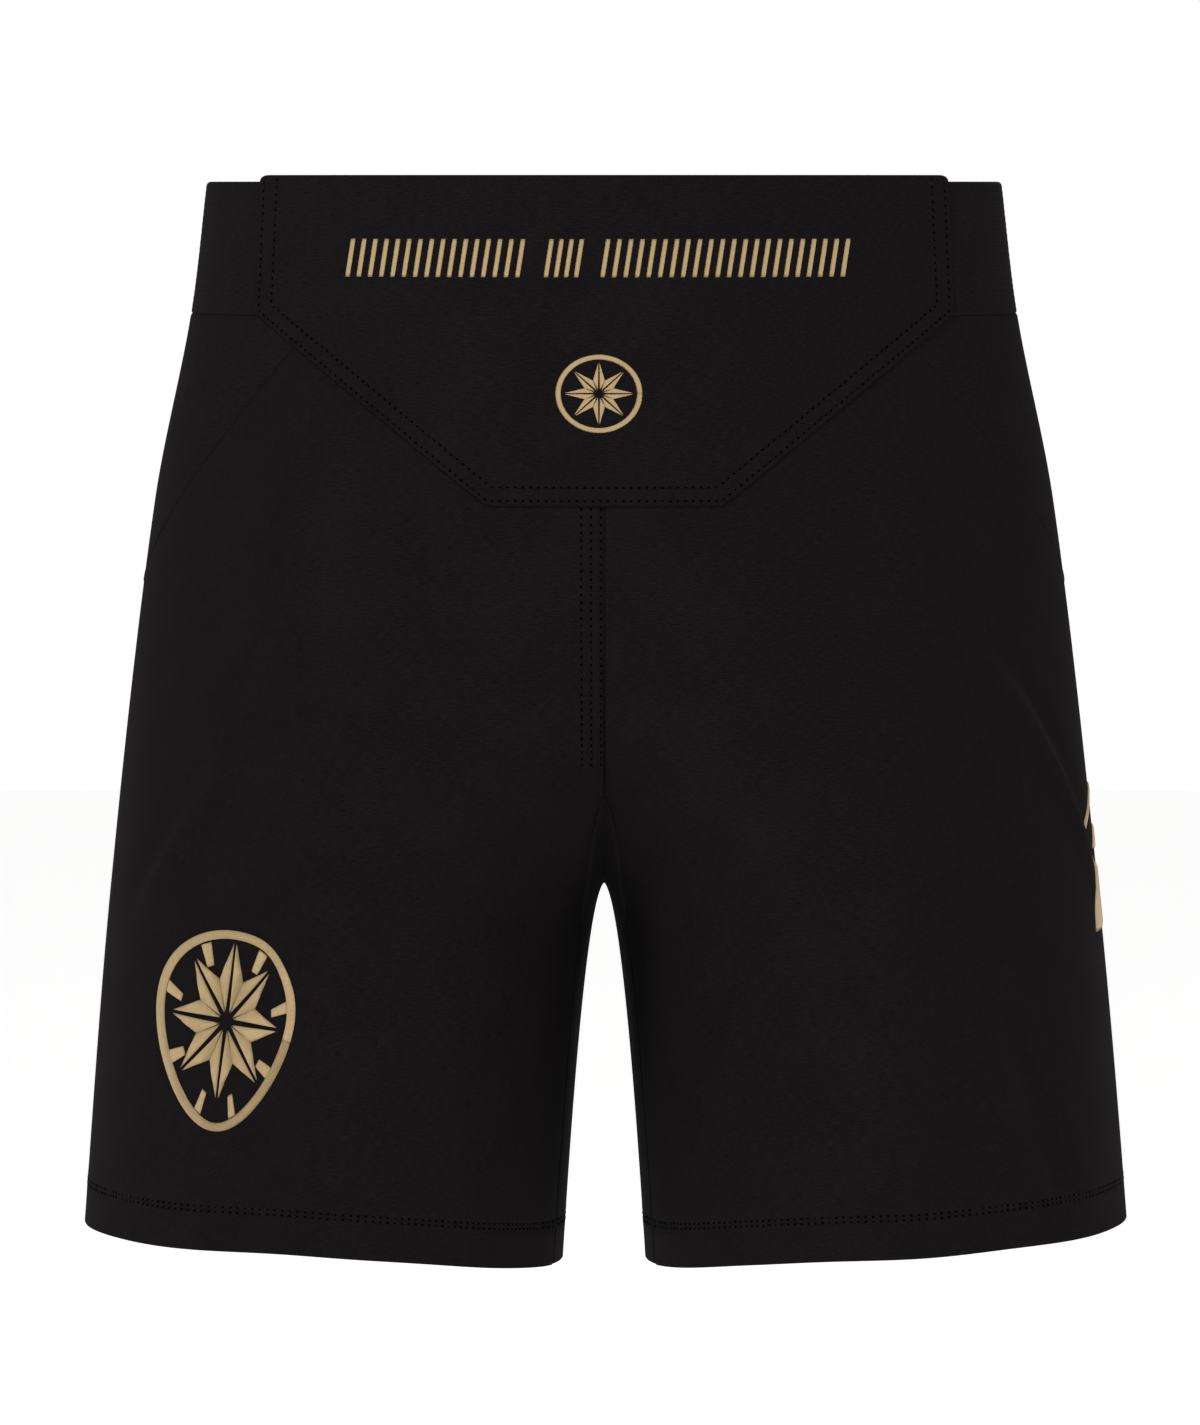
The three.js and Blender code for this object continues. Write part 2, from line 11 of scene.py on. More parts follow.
import bpy
import numpy as np
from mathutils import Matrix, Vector


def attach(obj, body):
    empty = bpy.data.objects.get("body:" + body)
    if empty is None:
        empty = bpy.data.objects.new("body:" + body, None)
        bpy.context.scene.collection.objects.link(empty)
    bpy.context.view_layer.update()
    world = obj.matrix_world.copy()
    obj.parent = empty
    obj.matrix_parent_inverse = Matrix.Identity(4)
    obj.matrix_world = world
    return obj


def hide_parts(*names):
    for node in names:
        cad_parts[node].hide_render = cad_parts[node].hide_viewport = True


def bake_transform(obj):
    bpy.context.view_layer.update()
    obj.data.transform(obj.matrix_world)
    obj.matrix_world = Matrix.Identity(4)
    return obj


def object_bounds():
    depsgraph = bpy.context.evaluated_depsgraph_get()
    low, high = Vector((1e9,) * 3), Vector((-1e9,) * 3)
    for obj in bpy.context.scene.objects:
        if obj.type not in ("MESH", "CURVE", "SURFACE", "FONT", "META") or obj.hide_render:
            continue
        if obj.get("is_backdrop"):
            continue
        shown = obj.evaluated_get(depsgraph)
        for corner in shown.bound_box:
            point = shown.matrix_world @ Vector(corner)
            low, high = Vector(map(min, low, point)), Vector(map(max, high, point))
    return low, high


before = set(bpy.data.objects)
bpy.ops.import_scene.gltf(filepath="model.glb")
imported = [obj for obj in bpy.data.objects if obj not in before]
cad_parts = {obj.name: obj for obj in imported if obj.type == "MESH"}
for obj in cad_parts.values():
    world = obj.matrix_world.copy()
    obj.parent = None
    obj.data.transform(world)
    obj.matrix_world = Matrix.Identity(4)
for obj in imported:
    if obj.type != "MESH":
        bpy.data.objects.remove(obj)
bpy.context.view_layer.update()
MM = 0.001

# %% [markdown]
# ## The body under the cloth
#
# A pair of shorts is one tube at the waist and two at the hems. The surface here does the
# same: at each height the right half is part of an oval, the two halves share one oval at
# the waist, and below the crotch each leg has its own. A formula is better than a sculpted
# form, because each pattern piece can then be cut out of it by angle and height, and its
# edge is the same curve as its neighbour's.

# %% The body surface
CLOTH = 0.8 * MM                 # a panel's thickness, as the model has it
WAIST_DROPS = np.array([0, 51, 124, 273, 420.6]) * MM
HALF_WIDTHS = np.array([154.6, 160.9, 175.3, 193.5, 207.3]) * MM
BACK_DEPTHS = np.array([105, 110, 122, 127, 108]) * MM
FRONT_DEPTHS = np.array([105, 106.5, 109, 111, 108]) * MM
BAND, CROTCH, HEM = WAIST_DROPS[1], WAIST_DROPS[3], WAIST_DROPS[4]
WAIST_DEPTH = BACK_DEPTHS[0]
HEM_DIP = 16.8 * MM              # the hem is this much lower at the inner thigh
LEG_GAP = 33.6 * MM
CENTRE_GAP = 0.16 * MM           # between the two halves at the centre seam
ARCH_POWER = 0.535               # the gap between the legs grows as this power of the drop
SPLIT_POWERS = (4, 1.5)          # how late and how suddenly the one oval becomes two


def through(values):
    """A smooth curve of the drop below the waist, through a value at each station."""
    slopes = np.gradient(values, WAIST_DROPS)
    slopes[1:-1] = (values[2:] - values[:-2]) / (WAIST_DROPS[2:] - WAIST_DROPS[:-2])

    def at(drop):
        drop = np.asarray(drop, float)
        inside = np.clip(drop, WAIST_DROPS[0], WAIST_DROPS[-1])
        i = np.clip(np.searchsorted(WAIST_DROPS, inside, "right") - 1, 0, len(values) - 2)
        h = WAIST_DROPS[i + 1] - WAIST_DROPS[i]
        t = (inside - WAIST_DROPS[i]) / h
        rise = values[i + 1] - values[i]
        a, b = slopes[i] * h, slopes[i + 1] * h
        curve = values[i] + a * t + (3 * rise - 2 * a - b) * t**2 + (a + b - 2 * rise) * t**3
        return curve + np.where(drop < inside, slopes[0], slopes[-1]) * (drop - inside)

    return at


half_width, back_depth, front_depth = (through(v) for v in (HALF_WIDTHS, BACK_DEPTHS, FRONT_DEPTHS))


def smooth(t):
    t = np.clip(t, 0, 1)
    return t * t * (3 - 2 * t)


def mix(a, b, t):
    return a + (b - a) * t


def oval(z):
    """Centre and half width of the right half's oval at a height."""
    outer = half_width(-z) - CLOTH
    below = np.maximum(0, -z - CROTCH)
    inner = LEG_GAP / 2 * (below / (HEM - CROTCH)) ** ARCH_POWER
    late, sudden = SPLIT_POWERS
    ratio = 1 - (1 - np.clip(-z / CROTCH, 0, 1) ** late) ** sudden
    above_radius = outer / (1 + ratio)
    radius = np.where(below > 0, (outer - inner) / 2, above_radius)
    centre = np.where(below > 0, (outer + inner) / 2, ratio * above_radius)
    return centre, radius


def base(angle, z):
    """The bare surface of the right half: 0 is the seat, 90 the side and 180 the fly."""
    angle, z = np.broadcast_arrays(np.asarray(angle, float), np.asarray(z, float))
    centre, radius = oval(z)
    a = np.radians(angle)
    depth = np.where(np.cos(a) > 0, back_depth(-z), front_depth(-z)) - CLOTH
    return np.stack([centre + radius * np.sin(a), -depth * np.cos(a), z], -1)


def unit(v):
    return v / np.maximum(np.linalg.norm(v, axis=-1, keepdims=True), 1e-12)


def outward(angle, z):
    """The way the bare surface faces, from two short steps along it."""
    round_way = base(angle + 0.05, z) - base(angle - 0.05, z)
    up = base(angle, z + 0.05 * MM) - base(angle, z - 0.05 * MM)
    return unit(np.cross(round_way, up))


def angle_at(x, z):
    """The angle on the seat side where the right half is x from the centre plane."""
    centre, radius = oval(z)
    return np.degrees(np.arcsin(np.clip((np.abs(x) - centre) / radius, -1, 1)))


def distance_along(line):
    """The distance of each point of a line from its start."""
    return np.concatenate([[0], np.cumsum(np.linalg.norm(np.diff(line, axis=0), axis=1))])


half_waist = base(np.linspace(0, 180, 200), 0)
print("waist girth, mm:", round(2 * distance_along(half_waist)[-1] / MM))

# %% [markdown]
# ## How the cloth hangs off that body
#
# Cloth that stands out from a form falls in long shallow folds that deepen towards the hem.
# A cloth simulation would find folds of its own and lose the outline, so the folds are
# added by formula: a few slow waves round each leg, and sharper creases that run slantwise
# between two points. Both die out near the centre seam, and the waves at the waistband too,
# where the cloth is held.

# %% Folds
FOLD_DEPTH, FOLD_START = 2.1 * MM, 120 * MM
WAVES = (                        # share of the depth, waves round the body, turn by side, turn by drop
    (0.9, 3, 0.7, 0),
    (0.55, 5, -1.2, 3),
    (0.3, 9, 2, 5),
)
CREASES = (                      # upper end and lower end as (x, drop), then width and depth, in mm
    ((-119, 141), (-149, 165), 6, 1.0),
    ((-132, 214), (-173, 279), 9, 2.5),
    ((-100, 252), (-120, 312), 10, 2.5),
    ((134, 171), (191, 279), 8, 3.0),
    ((131, 296), (166, 393), 11, 2.9),
    ((60, 285), (31, 393), 8, 2.4),
)
CREASE_RADIUS = 110              # mm, turns an angle round the leg into a distance
CREASE_SLOPE, CREASE_START = 2.5, 0.3    # how a crease fades at its two ends
HOLLOW, HOLLOW_SHIFT = 0.6, 1.7  # the hollow beside a crease, in its depth and its width
HELD_FROM, HELD_FADE = 20 * MM, 35 * MM  # distance from the centre plane where folds begin
CENTRE_LEVEL = 4 * MM            # over this distance the two halves face the same way


def folds(side, angle, z):
    """How far the cloth stands off the body surface, in metres."""
    angle, z = np.broadcast_arrays(np.asarray(angle, float), np.asarray(z, float))
    a = np.radians(angle)
    down = np.clip((-z - FOLD_START) / (HEM - FOLD_START), 0, 1)
    waves = sum(size * np.sin(count * a + turn * side + slant * down)
                for size, count, turn, slant in WAVES)
    lift = FOLD_DEPTH * smooth(down) * waves
    for top, low, width, depth in CREASES:
        if top[0] * side < 0:
            continue
        share = (-z / MM - top[1]) / (low[1] - top[1])
        top_angle, low_angle = (angle_at(abs(x) * MM, -drop * MM) for x, drop in (top, low))
        off = np.radians(angle - mix(top_angle, low_angle, share)) * CREASE_RADIUS / width
        ends = (smooth(share * CREASE_SLOPE + CREASE_START)
                * smooth((1 - share) * CREASE_SLOPE + CREASE_START))
        ridge = np.exp(-off**2) - HOLLOW * np.exp(-(off - HOLLOW_SHIFT)**2)
        lift = lift + depth * MM * ends * ridge
    held = smooth((np.abs(base(angle, z)[..., 0]) - HELD_FROM) / HELD_FADE)
    return lift * held


def place(side, angle, z, off):
    """Points of one half, off the body by the folds and by the layer, and the ways they face."""
    angle, z, off = np.broadcast_arrays(np.asarray(angle, float), z, off)
    way = outward(angle, z)
    p = base(angle, z) + way * (off + folds(side, angle, z))[..., None]
    p[..., 0] = np.maximum(p[..., 0], CENTRE_GAP / 2)
    return p * [side, 1, 1], way * [side, 1, 1]


def place_x(face, x, z, off):
    """The same by the distance across the back or the front, for pieces over the centre."""
    x, z, off = np.broadcast_arrays(np.asarray(x, float), z, off)
    angle = angle_at(x, z)
    angle = angle if face == "back" else 180 - angle
    way = outward(angle, z)
    way[..., 0] *= smooth(np.abs(x) / CENTRE_LEVEL)
    way = unit(way)
    lift = np.where(x < 0, folds(-1, angle, z), folds(1, angle, z))
    p = base(angle, z) + way * (off + lift)[..., None]
    sign = np.where(x < 0, -1, 1)
    p[..., 0] *= sign
    way[..., 0] *= sign
    return p, way


print("deepest crease, mm:", max(depth for *_, depth in CREASES))

# %% [markdown]
# ## Cutting and sewing helpers
#
# A sheet of cloth is made from a grid of points on its middle surface. It gets a thickness
# and a rounded rim, and a texture map in metres, so that a weave has its true size on every
# piece. At a plain seam the last millimetre turns inwards, which draws the seam as a fine
# groove. Where thread runs, the cloth is pressed down along the line and puckers beside it.

# %% Sheets
RIM_STEPS = 3
SEAM_TURN, SEAM_DEPTH = 1.1 * MM, 0.9 * MM       # how wide and how deep a seam's edge turns in
PRESS_REACH, RIPPLE_REACH = 8 * MM, 3 * MM       # how far a row of thread shapes the cloth
PRESS_BATCH = 3000               # points handled at a time, to save memory
EDGE_STEPS = np.array([0, 0.25, 0.5, 0.8, 1.15, 1.6, 2.2, 3.0]) * MM
LINE_STEPS = np.array([-0.9, -0.45, -0.2, 0, 0.2, 0.45, 0.9]) * MM
CLOSEST = 0.14 * MM


def graded(length, count, marks=(), end_marks=()):
    """Positions from 0 to 1, finer at both ends and where thread runs, for a given length."""
    at = [np.linspace(0, length, count), EDGE_STEPS, length - EDGE_STEPS]
    at += [m + LINE_STEPS for m in marks] + [length - m - LINE_STEPS for m in end_marks]
    at = np.unique(np.clip(np.concatenate(at), 0, length))
    kept = [0.0]
    for value in at[1:-1]:
        if value - kept[-1] > CLOSEST and length - value > CLOSEST:
            kept.append(value)
    return np.array([*kept, length]) / length


def grid_normals(p):
    return unit(np.cross(np.gradient(p, axis=0), np.gradient(p, axis=1)))


def edge_distance(p, axis, end):
    """Distance of each point from one edge of its grid, measured along the cloth."""
    steps = np.linalg.norm(np.diff(p, axis=axis), axis=-1)
    zero = np.zeros_like(np.take(steps, [0], axis=axis))
    if end == 0:
        return np.concatenate([zero, np.cumsum(steps, axis=axis)], axis=axis)
    back = np.flip(np.cumsum(np.flip(steps, axis=axis), axis=axis), axis=axis)
    return np.concatenate([back, zero], axis=axis)

# %% Edges and pressed rows
def turn_edges(p, edges, way, depth=SEAM_DEPTH):
    """Turns edges in, or out by a negative depth. edges holds pairs of axis and end."""
    for axis, end in edges:
        near = np.clip(1 - edge_distance(p, axis, end) / SEAM_TURN, 0, 1)
        p = p - way * (depth * near**2)[..., None]
    return p


def press(p, normals, lines, depth=0.24 * MM, width=0.6 * MM, pucker=0.10 * MM, pitch=5.8 * MM):
    """Sinks the cloth along stitched lines and ripples it gently beside them."""
    flat = p.reshape(-1, 3)
    lift = np.zeros(len(flat))
    for line in lines:
        along = distance_along(line)
        low, high = line.min(0) - PRESS_REACH, line.max(0) + PRESS_REACH
        near = np.where(((flat > low) & (flat < high)).all(1))[0]
        for part in np.array_split(near, max(1, len(near) // PRESS_BATCH)):
            if len(part):
                d = np.linalg.norm(flat[part][:, None] - line[None], axis=2)
                k = d.argmin(1)
                d = d[np.arange(len(part)), k]
                ripple = np.sin(2 * math.pi * along[k] / pitch) * np.exp(-((d / RIPPLE_REACH) ** 2))
                lift[part] += pucker * ripple - depth * np.exp(-((d / width) ** 2))
    return p + normals * lift.reshape(p.shape[:2])[..., None]

# %% A closed sheet round a grid
def grid_faces(index):
    """The four-sided faces of a grid, from the numbers of its points."""
    return np.stack([index[:-1, :-1], index[1:, :-1], index[1:, 1:], index[:-1, 1:]], -1).reshape(-1, 4)


def sheet_parts(p, way, thickness, under=None):
    """Points, faces and map of a closed sheet round a grid. under thickens its inner side."""
    m, n = p.shape[:2]
    normals = grid_normals(p)
    normals = normals if np.sum(normals * way) > 0 else -normals
    inwards = thickness / 2 + (0 if under is None else under[..., None])
    outer, inner = p + normals * thickness / 2, p - normals * inwards
    loop = ([(i, 0) for i in range(m - 1)] + [(m - 1, j) for j in range(n - 1)]
            + [(i, n - 1) for i in range(m - 1, 0, -1)] + [(0, j) for j in range(n - 1, 0, -1)])
    i, j = np.array(loop).T
    away = unit(p[i, j] - p[np.clip(i, 1, m - 2), np.clip(j, 1, n - 2)])
    middle, half = (outer[i, j] + inner[i, j]) / 2, (outer[i, j] - inner[i, j]) / 2
    bulge = away * np.linalg.norm(half, axis=1, keepdims=True)
    turns = [math.pi * k / RIM_STEPS for k in range(1, RIM_STEPS)]
    rings = [middle + half * math.cos(t) + bulge * math.sin(t) for t in turns]
    points = np.concatenate([outer.reshape(-1, 3), inner.reshape(-1, 3), *rings])
    index = np.arange(m * n).reshape(m, n)
    quads = grid_faces(index)
    rim = [index[i, j], *[2 * m * n + k * len(i) + np.arange(len(i)) for k in range(len(rings))],
           index[i, j] + m * n]
    walls = [np.stack([a, b, np.roll(b, -1), np.roll(a, -1)], -1) for a, b in zip(rim[:-1], rim[1:])]
    faces = np.concatenate([quads[:, ::-1], quads + m * n, *walls])
    corners = points[faces]
    fan = np.cross(corners[:, 1], corners[:, 2]) + np.cross(corners[:, 2], corners[:, 3])
    faces = faces if np.einsum("ij,ij->", corners[:, 0], fan) > 0 else faces[:, ::-1]
    uv = np.stack([edge_distance(p, 0, 0), edge_distance(p, 1, 0)], -1)
    uv = np.concatenate([uv.reshape(-1, 2), uv.reshape(-1, 2), *[uv[i, j]] * len(rings)])
    return points, faces, uv


def cloth_piece(name, parts, material):
    """One object from one or more sheets, with its map, smooth shading and finish."""
    points, faces, uv, count = [], [], [], 0
    for part in parts if isinstance(parts, list) else [parts]:
        points.append(part[0])
        faces.append(part[1] + count)
        uv.append(part[2])
        count += len(part[0])
    points, faces, uv = np.concatenate(points), np.concatenate(faces), np.concatenate(uv)
    mesh = bpy.data.meshes.new(name)
    mesh.from_pydata(points.tolist(), [], faces.tolist())
    layer = mesh.uv_layers.new(name="cloth")
    corner = np.empty(len(mesh.loops), np.int32)
    mesh.loops.foreach_get("vertex_index", corner)
    layer.data.foreach_set("uv", uv[corner].astype(np.float32).ravel())
    mesh.polygons.foreach_set("use_smooth", np.ones(len(mesh.polygons), bool))
    mesh.materials.append(material)
    mesh.update()
    piece = bpy.data.objects.new(name, mesh)
    bpy.context.scene.collection.objects.link(piece)
    return piece

# %% Thread lines
def inset_line(p, axis, end, distance):
    """The line on a grid that runs a given distance inside one of its edges."""
    depth = edge_distance(p, axis, end)
    rows = p if axis == 1 else p.transpose(1, 0, 2)
    depth = depth if axis == 1 else depth.T
    step = -1 if end == 1 else 1
    return np.array([[np.interp(distance, d[::step], row[::step, k]) for k in range(3)]
                     for d, row in zip(depth, rows)])


def evenly(line, spacing=1.0 * MM):
    """A line's points, spread at an even spacing."""
    along = distance_along(line)
    at = np.linspace(0, along[-1], max(2, int(along[-1] / spacing)))
    return np.stack([np.interp(at, along, line[:, k]) for k in range(3)], -1)


THREADS = {"shorts": [], "flap": []}     # the thread lines of each body, gathered as pieces are sewn
THREAD_RISE = 0.18 * MM          # how far a thread stands up out of its groove
GUIDE_STEP = 6                   # every sixth point of a line looks for its nearest cloth


def sew(p, way, lines, thickness, body="shorts", depth=0.36 * MM):
    """Presses lines into a grid, and keeps them as thread lines lying in the grooves."""
    lines = [evenly(line) for line in lines]
    flat, ways = p.reshape(-1, 3), way.reshape(-1, 3)
    for line in lines:
        nearest = [int(((flat - q) ** 2).sum(1).argmin()) for q in line[::GUIDE_STEP]]
        up = ways[np.repeat(nearest, GUIDE_STEP)[:len(line)]]
        THREADS[body].append(line + up * (thickness / 2 - depth + THREAD_RISE))
    return press(p, way, lines, depth)


# %% [markdown]
# ## Shader maths as plain Python
#
# A node tree is easier to read as an expression. `Value` wraps one output socket, and the
# usual operators add Math nodes. `Paint` holds one material, and its `node` method makes
# every other kind of node.

# %% Values and paints
class Value:
    """One output socket; its sums, differences and products add Math nodes."""

    def __init__(self, paint, socket):
        self.paint, self.socket = paint, socket

    def math(self, operation, *others):
        return self.paint.node("ShaderNodeMath", {"operation": operation}, self, *others)

    def __add__(self, other):
        return self.math("ADD", other)

    def __mul__(self, other):
        return self.math("MULTIPLY", other)

    def __sub__(self, other):
        return self.math("SUBTRACT", other)

    def __rsub__(self, other):
        return self.paint.node("ShaderNodeMath", {"operation": "SUBTRACT"}, other, self)

    __radd__, __rmul__ = __add__, __mul__

# %% Paints
NOISE_START = (5370, 3110, 0)    # keeps the noise's own origin, where it looks regular, off every piece


class Paint:
    """One material, built from a surface shader and the nodes that feed it."""

    def __init__(self, name, **surface):
        self.material = bpy.data.materials.new(name)
        self.material.use_nodes = True
        self.tree = self.material.node_tree
        self.surface = self.tree.nodes["Principled BSDF"]
        for socket, value in surface.items():
            self.surface.inputs[socket.replace("_", " ")].default_value = value

    def node(self, kind, settings, *inputs, output=0, **named):
        """A node of a kind, with its settings and its inputs, in order or by name."""
        made = self.tree.nodes.new(kind)
        for key, value in settings.items():
            if key == "stops":
                for element, (at, colour) in zip(self.ramp_stops(made, len(value)), value):
                    element.position, element.color = at, colour
            else:
                setattr(made, key, value)
        pairs = list(zip(made.inputs, inputs))
        pairs += [(made.inputs[key.replace("_", " ")], value) for key, value in named.items()]
        for socket, value in pairs:
            if isinstance(value, Value):
                self.tree.links.new(value.socket, socket)
            elif value is not None:
                socket.default_value = value
        return Value(self, made.outputs[output])

    @staticmethod
    def ramp_stops(made, count):
        elements = made.color_ramp.elements
        while len(elements) < count:
            elements.new(1)
        return elements

    def feed(self, socket, value):
        self.tree.links.new(value.socket, self.surface.inputs[socket])

    def cloth_map(self, scale=(1, 1, 1)):
        """The piece's own map in millimetres, stretched by scale."""
        uv = self.node("ShaderNodeUVMap", {"uv_map": "cloth"})
        scale = [s / MM for s in scale]
        return self.node("ShaderNodeMapping", {}, Vector=uv, Location=NOISE_START, Scale=scale)

    def object_map(self):
        """The object's own coordinates, in metres."""
        return self.node("ShaderNodeTexCoord", {}, output=3)

    def noise(self, where, scale, detail=2.0):
        return self.node("ShaderNodeTexNoise", {}, Vector=where, Scale=scale, Detail=detail)

    def wave(self, where, axis, scale, distortion=0.0):
        settings = {"wave_type": "BANDS", "bands_direction": axis, "wave_profile": "SIN"}
        return self.node("ShaderNodeTexWave", settings, Vector=where, Scale=scale, Distortion=distortion,
                         Detail=1.0, output=1)

    def shade(self, factor, dark, light):
        stops = [(0.0, (*dark, 1)), (1.0, (*light, 1))]
        return self.node("ShaderNodeValToRGB", {"stops": stops}, factor)

    def bump(self, height, distance, strength):
        return self.node("ShaderNodeBump", {}, Height=height, Distance=distance, Strength=strength)


# A sine wave of the Wave texture repeats every WAVE / scale units of its map.
WAVE = 2 * math.pi / 20

# %% [markdown]
# ## The finishes
#
# The shell is a matt black stretch woven cloth. Up close it has a plain weave of about two
# threads to the millimetre and thicker threads here and there that run across; from further
# away only a faint sheen at the edges shows. Gold appears twice: flat transfer print on the
# yoke, and satin-stitch thread, which is shinier and ridged, on the legs.

# %% Cloth finishes
THREAD_SPACING = 0.52            # mm between the threads of the shell cloth
DARKEST, LIGHTEST = 0.35, 1.65   # how far a cloth's tone strays from its base colour


def woven(name, colour, thread=THREAD_SPACING, slub=1.0, sheen=0.007, roughness=0.9, ribs=None,
          depth=0.05 * MM):
    """A plain woven cloth: colour is its linear base, thread the spacing in millimetres."""
    paint = Paint(name, Roughness=roughness, Sheen_Weight=sheen, Sheen_Roughness=0.4,
                  Specular_IOR_Level=0.012)
    where = paint.cloth_map()
    warp = paint.wave(where, "X", WAVE / thread)
    weft = paint.wave(where, "Y", WAVE / thread)
    slubs = paint.noise(paint.cloth_map((0.3, 1.9, 1)), 1.0, 3.0)
    fibres = paint.noise(where, 2.1, 2.0)
    patches = paint.noise(where, 0.035)
    tone = (slubs - 0.5) * slub + (fibres - 0.5) * (slub * 1.3) + (patches - 0.5) * (slub * 0.22) + 0.5
    dark, light = ([c * share for c in colour] for share in (DARKEST, LIGHTEST))
    paint.feed("Base Color", paint.shade(tone, dark, light))
    height = (warp * weft) * 0.6 + slubs * 0.7
    if ribs:
        height = height * 0.35 + paint.wave(where, "Y", WAVE / ribs, 0.4)
    paint.feed("Roughness", slubs * 0.16 + (roughness - 0.08))
    paint.feed("Normal", paint.bump(height, depth, 0.8))
    return paint.material


shell_cloth = woven("shell_cloth", (0.0080, 0.0069, 0.0073))
band_cloth = woven("band_cloth", (0.0084, 0.0073, 0.0077), ribs=1.6, depth=0.08 * MM)
lining_cloth = woven("lining_cloth", (0.0066, 0.0060, 0.0063), thread=0.4)
label_cloth = woven("label_cloth", (0.021, 0.020, 0.0205), thread=0.3, sheen=0.1, roughness=0.6)
loop_tape = woven("loop_tape", (0.0075, 0.0072, 0.0074), thread=0.9, slub=1.3, sheen=0.2, roughness=0.95,
                  depth=0.35 * MM)

# %% Thread, hook and gold finishes
def black_thread():
    paint = Paint("black_thread", Base_Color=(0.0085, 0.0076, 0.0079, 1), Specular_IOR_Level=0.05)
    twist = paint.noise(paint.object_map(), 2500.0)
    paint.feed("Roughness", twist * 0.3 + 0.4)
    paint.feed("Normal", paint.bump(twist, 0.05 * MM, 0.6))
    return paint.material


def painted_needle_shade():
    """Painted shade: a near-black colour that stands for the shadow in the dimple where a needle went
    through.
    """
    paint = Paint("painted_needle_shade", Roughness=1.0, Specular_IOR_Level=0.0)
    fuzz = paint.noise(paint.object_map(), 1800.0)
    paint.feed("Base Color", paint.shade(fuzz, (0.0004, 0.0004, 0.0004), (0.0016, 0.0014, 0.0015)))
    return paint.material


def hook_plastic():
    paint = Paint("hook_plastic", Base_Color=(0.006, 0.006, 0.0062, 1), Specular_IOR_Level=0.5)
    mottle = paint.noise(paint.object_map(), 900.0)
    paint.feed("Roughness", mottle * 0.25 + 0.38)
    return paint.material


def gold_print():
    """Flat gold transfer film that has taken a little of the cloth's grain."""
    paint = Paint("gold_print", Metallic=0.12, Specular_IOR_Level=0.45)
    where = paint.cloth_map()
    grain = paint.wave(where, "X", WAVE / THREAD_SPACING) * paint.wave(where, "Y", WAVE / THREAD_SPACING)
    specks = paint.noise(where, 0.9, 4.0)
    cloud = paint.noise(where, 0.12)
    tone = specks * 0.45 + cloud * 0.55
    paint.feed("Base Color", paint.shade(tone, (0.345, 0.240, 0.108), (0.51, 0.362, 0.180)))
    paint.feed("Roughness", specks * 0.2 + 0.42)
    paint.feed("Normal", paint.bump(grain * 0.5 + specks * 0.5, 0.03 * MM, 0.5))
    return paint.material


def gold_thread():
    """Satin stitch: fine parallel threads that run across each shape."""
    paint = Paint("gold_thread", Metallic=0.18, Specular_IOR_Level=0.5, Sheen_Weight=0.25,
                  Sheen_Tint=(0.9, 0.7, 0.4, 1))
    where = paint.cloth_map()
    threads = paint.wave(where, "Y", WAVE / 0.42, 0.6)
    streaks = paint.noise(paint.cloth_map((0.18, 2.4, 1)), 1.0, 3.0)
    specks = paint.noise(where, 1.2, 3.0)
    tone = streaks * 0.35 + threads * 0.2 + specks * 0.45
    paint.feed("Base Color", paint.shade(tone, (0.16, 0.102, 0.040), (0.72, 0.510, 0.250)))
    paint.feed("Roughness", streaks * 0.25 + 0.32)
    paint.feed("Normal", paint.bump(threads + streaks * 0.4 + specks, 0.12 * MM, 0.8))
    return paint.material


# the needle holes' finish is painted shade: a near-black colour for the dimples' shadow
thread_black, hole_painted_shade, hook_black = black_thread(), painted_needle_shade(), hook_plastic()
print_gold, thread_gold = gold_print(), gold_thread()
print("finishes, with the model's own:", len(bpy.data.materials))

# %% [markdown]
# ## The leg and hip panels
#
# Each half has a back panel, a front panel and a hip panel let in below the waistband at the
# side. The leg panels are cut with their columns fanned from the inner edge to the side seam,
# so one grid serves the straight top, the curved hip seam, the crotch and the hem. The hem is
# turned up inside, which makes the cloth twice as thick there, and it is sewn with two rows.

# %% The pattern's curves
OUTSEAM = 403.8 * MM
SEAM_GAP = 0.16 * MM
SEAM_ANGLE = math.degrees(SEAM_GAP / 2 / WAIST_DEPTH)
PANEL_TOP = -(BAND + SEAM_GAP)
HIP_REACH, HIP_DEPTH = 47.5, 104 * MM            # degrees to each side of the side line, and drop
GUSSET_RISE = 40 * MM            # how far the gusset reaches up over the crotch
GUSSET_TOP = -(CROTCH - GUSSET_RISE)
HEM_POWER, HIP_POWER, GUSSET_POWER = 3, 1.42, 0.576      # how the three curves bend
INNER_ANGLE = -72                # where the hem meets the gusset's seam
SHEET = 0.55 * MM
PANEL_MIDDLE = CLOTH / 2
HEM_TURN, HEM_ROWS = 18.5 * MM, (15.0 * MM, 16.9 * MM)
HEM_FACING_THICKNESS, HEM_STEP = 0.55 * MM, 0.8 * MM
WAIST_QUARTER, PANEL_LENGTH = 204 * MM, 366 * MM
SEAT_ROWS = (1.3 * MM, 5.0 * MM, 8.6 * MM)       # three rows of thread beside the seat seam
SEAT_ROW_DROPS = (118 * MM, 219 * MM)
SEAT_COLUMNS = np.linspace(0.2, 4.6, 26)         # degrees, finer columns under those rows
TOP_LIFT, HIP_TURN = 0.3 * MM, 0.35 * MM         # the leg panel's edge lies over the hip panel's
HIP_CLOSE = 0.25                 # degrees, ends the hip panel where its seam meets the waistband
SETTLING_ROUNDS = 8


def hem_z(angle):
    """The hem's height at an angle round the leg, lower at the inner thigh."""
    return -OUTSEAM - HEM_DIP * ((1 - np.sin(np.radians(angle))) / 2) ** HEM_POWER


def hip_drop(angle):
    """How far the hip seam lies below the waistband at an angle."""
    return HIP_DEPTH * (1 - np.minimum(1, np.abs(90 - angle) / HIP_REACH) ** HIP_POWER)


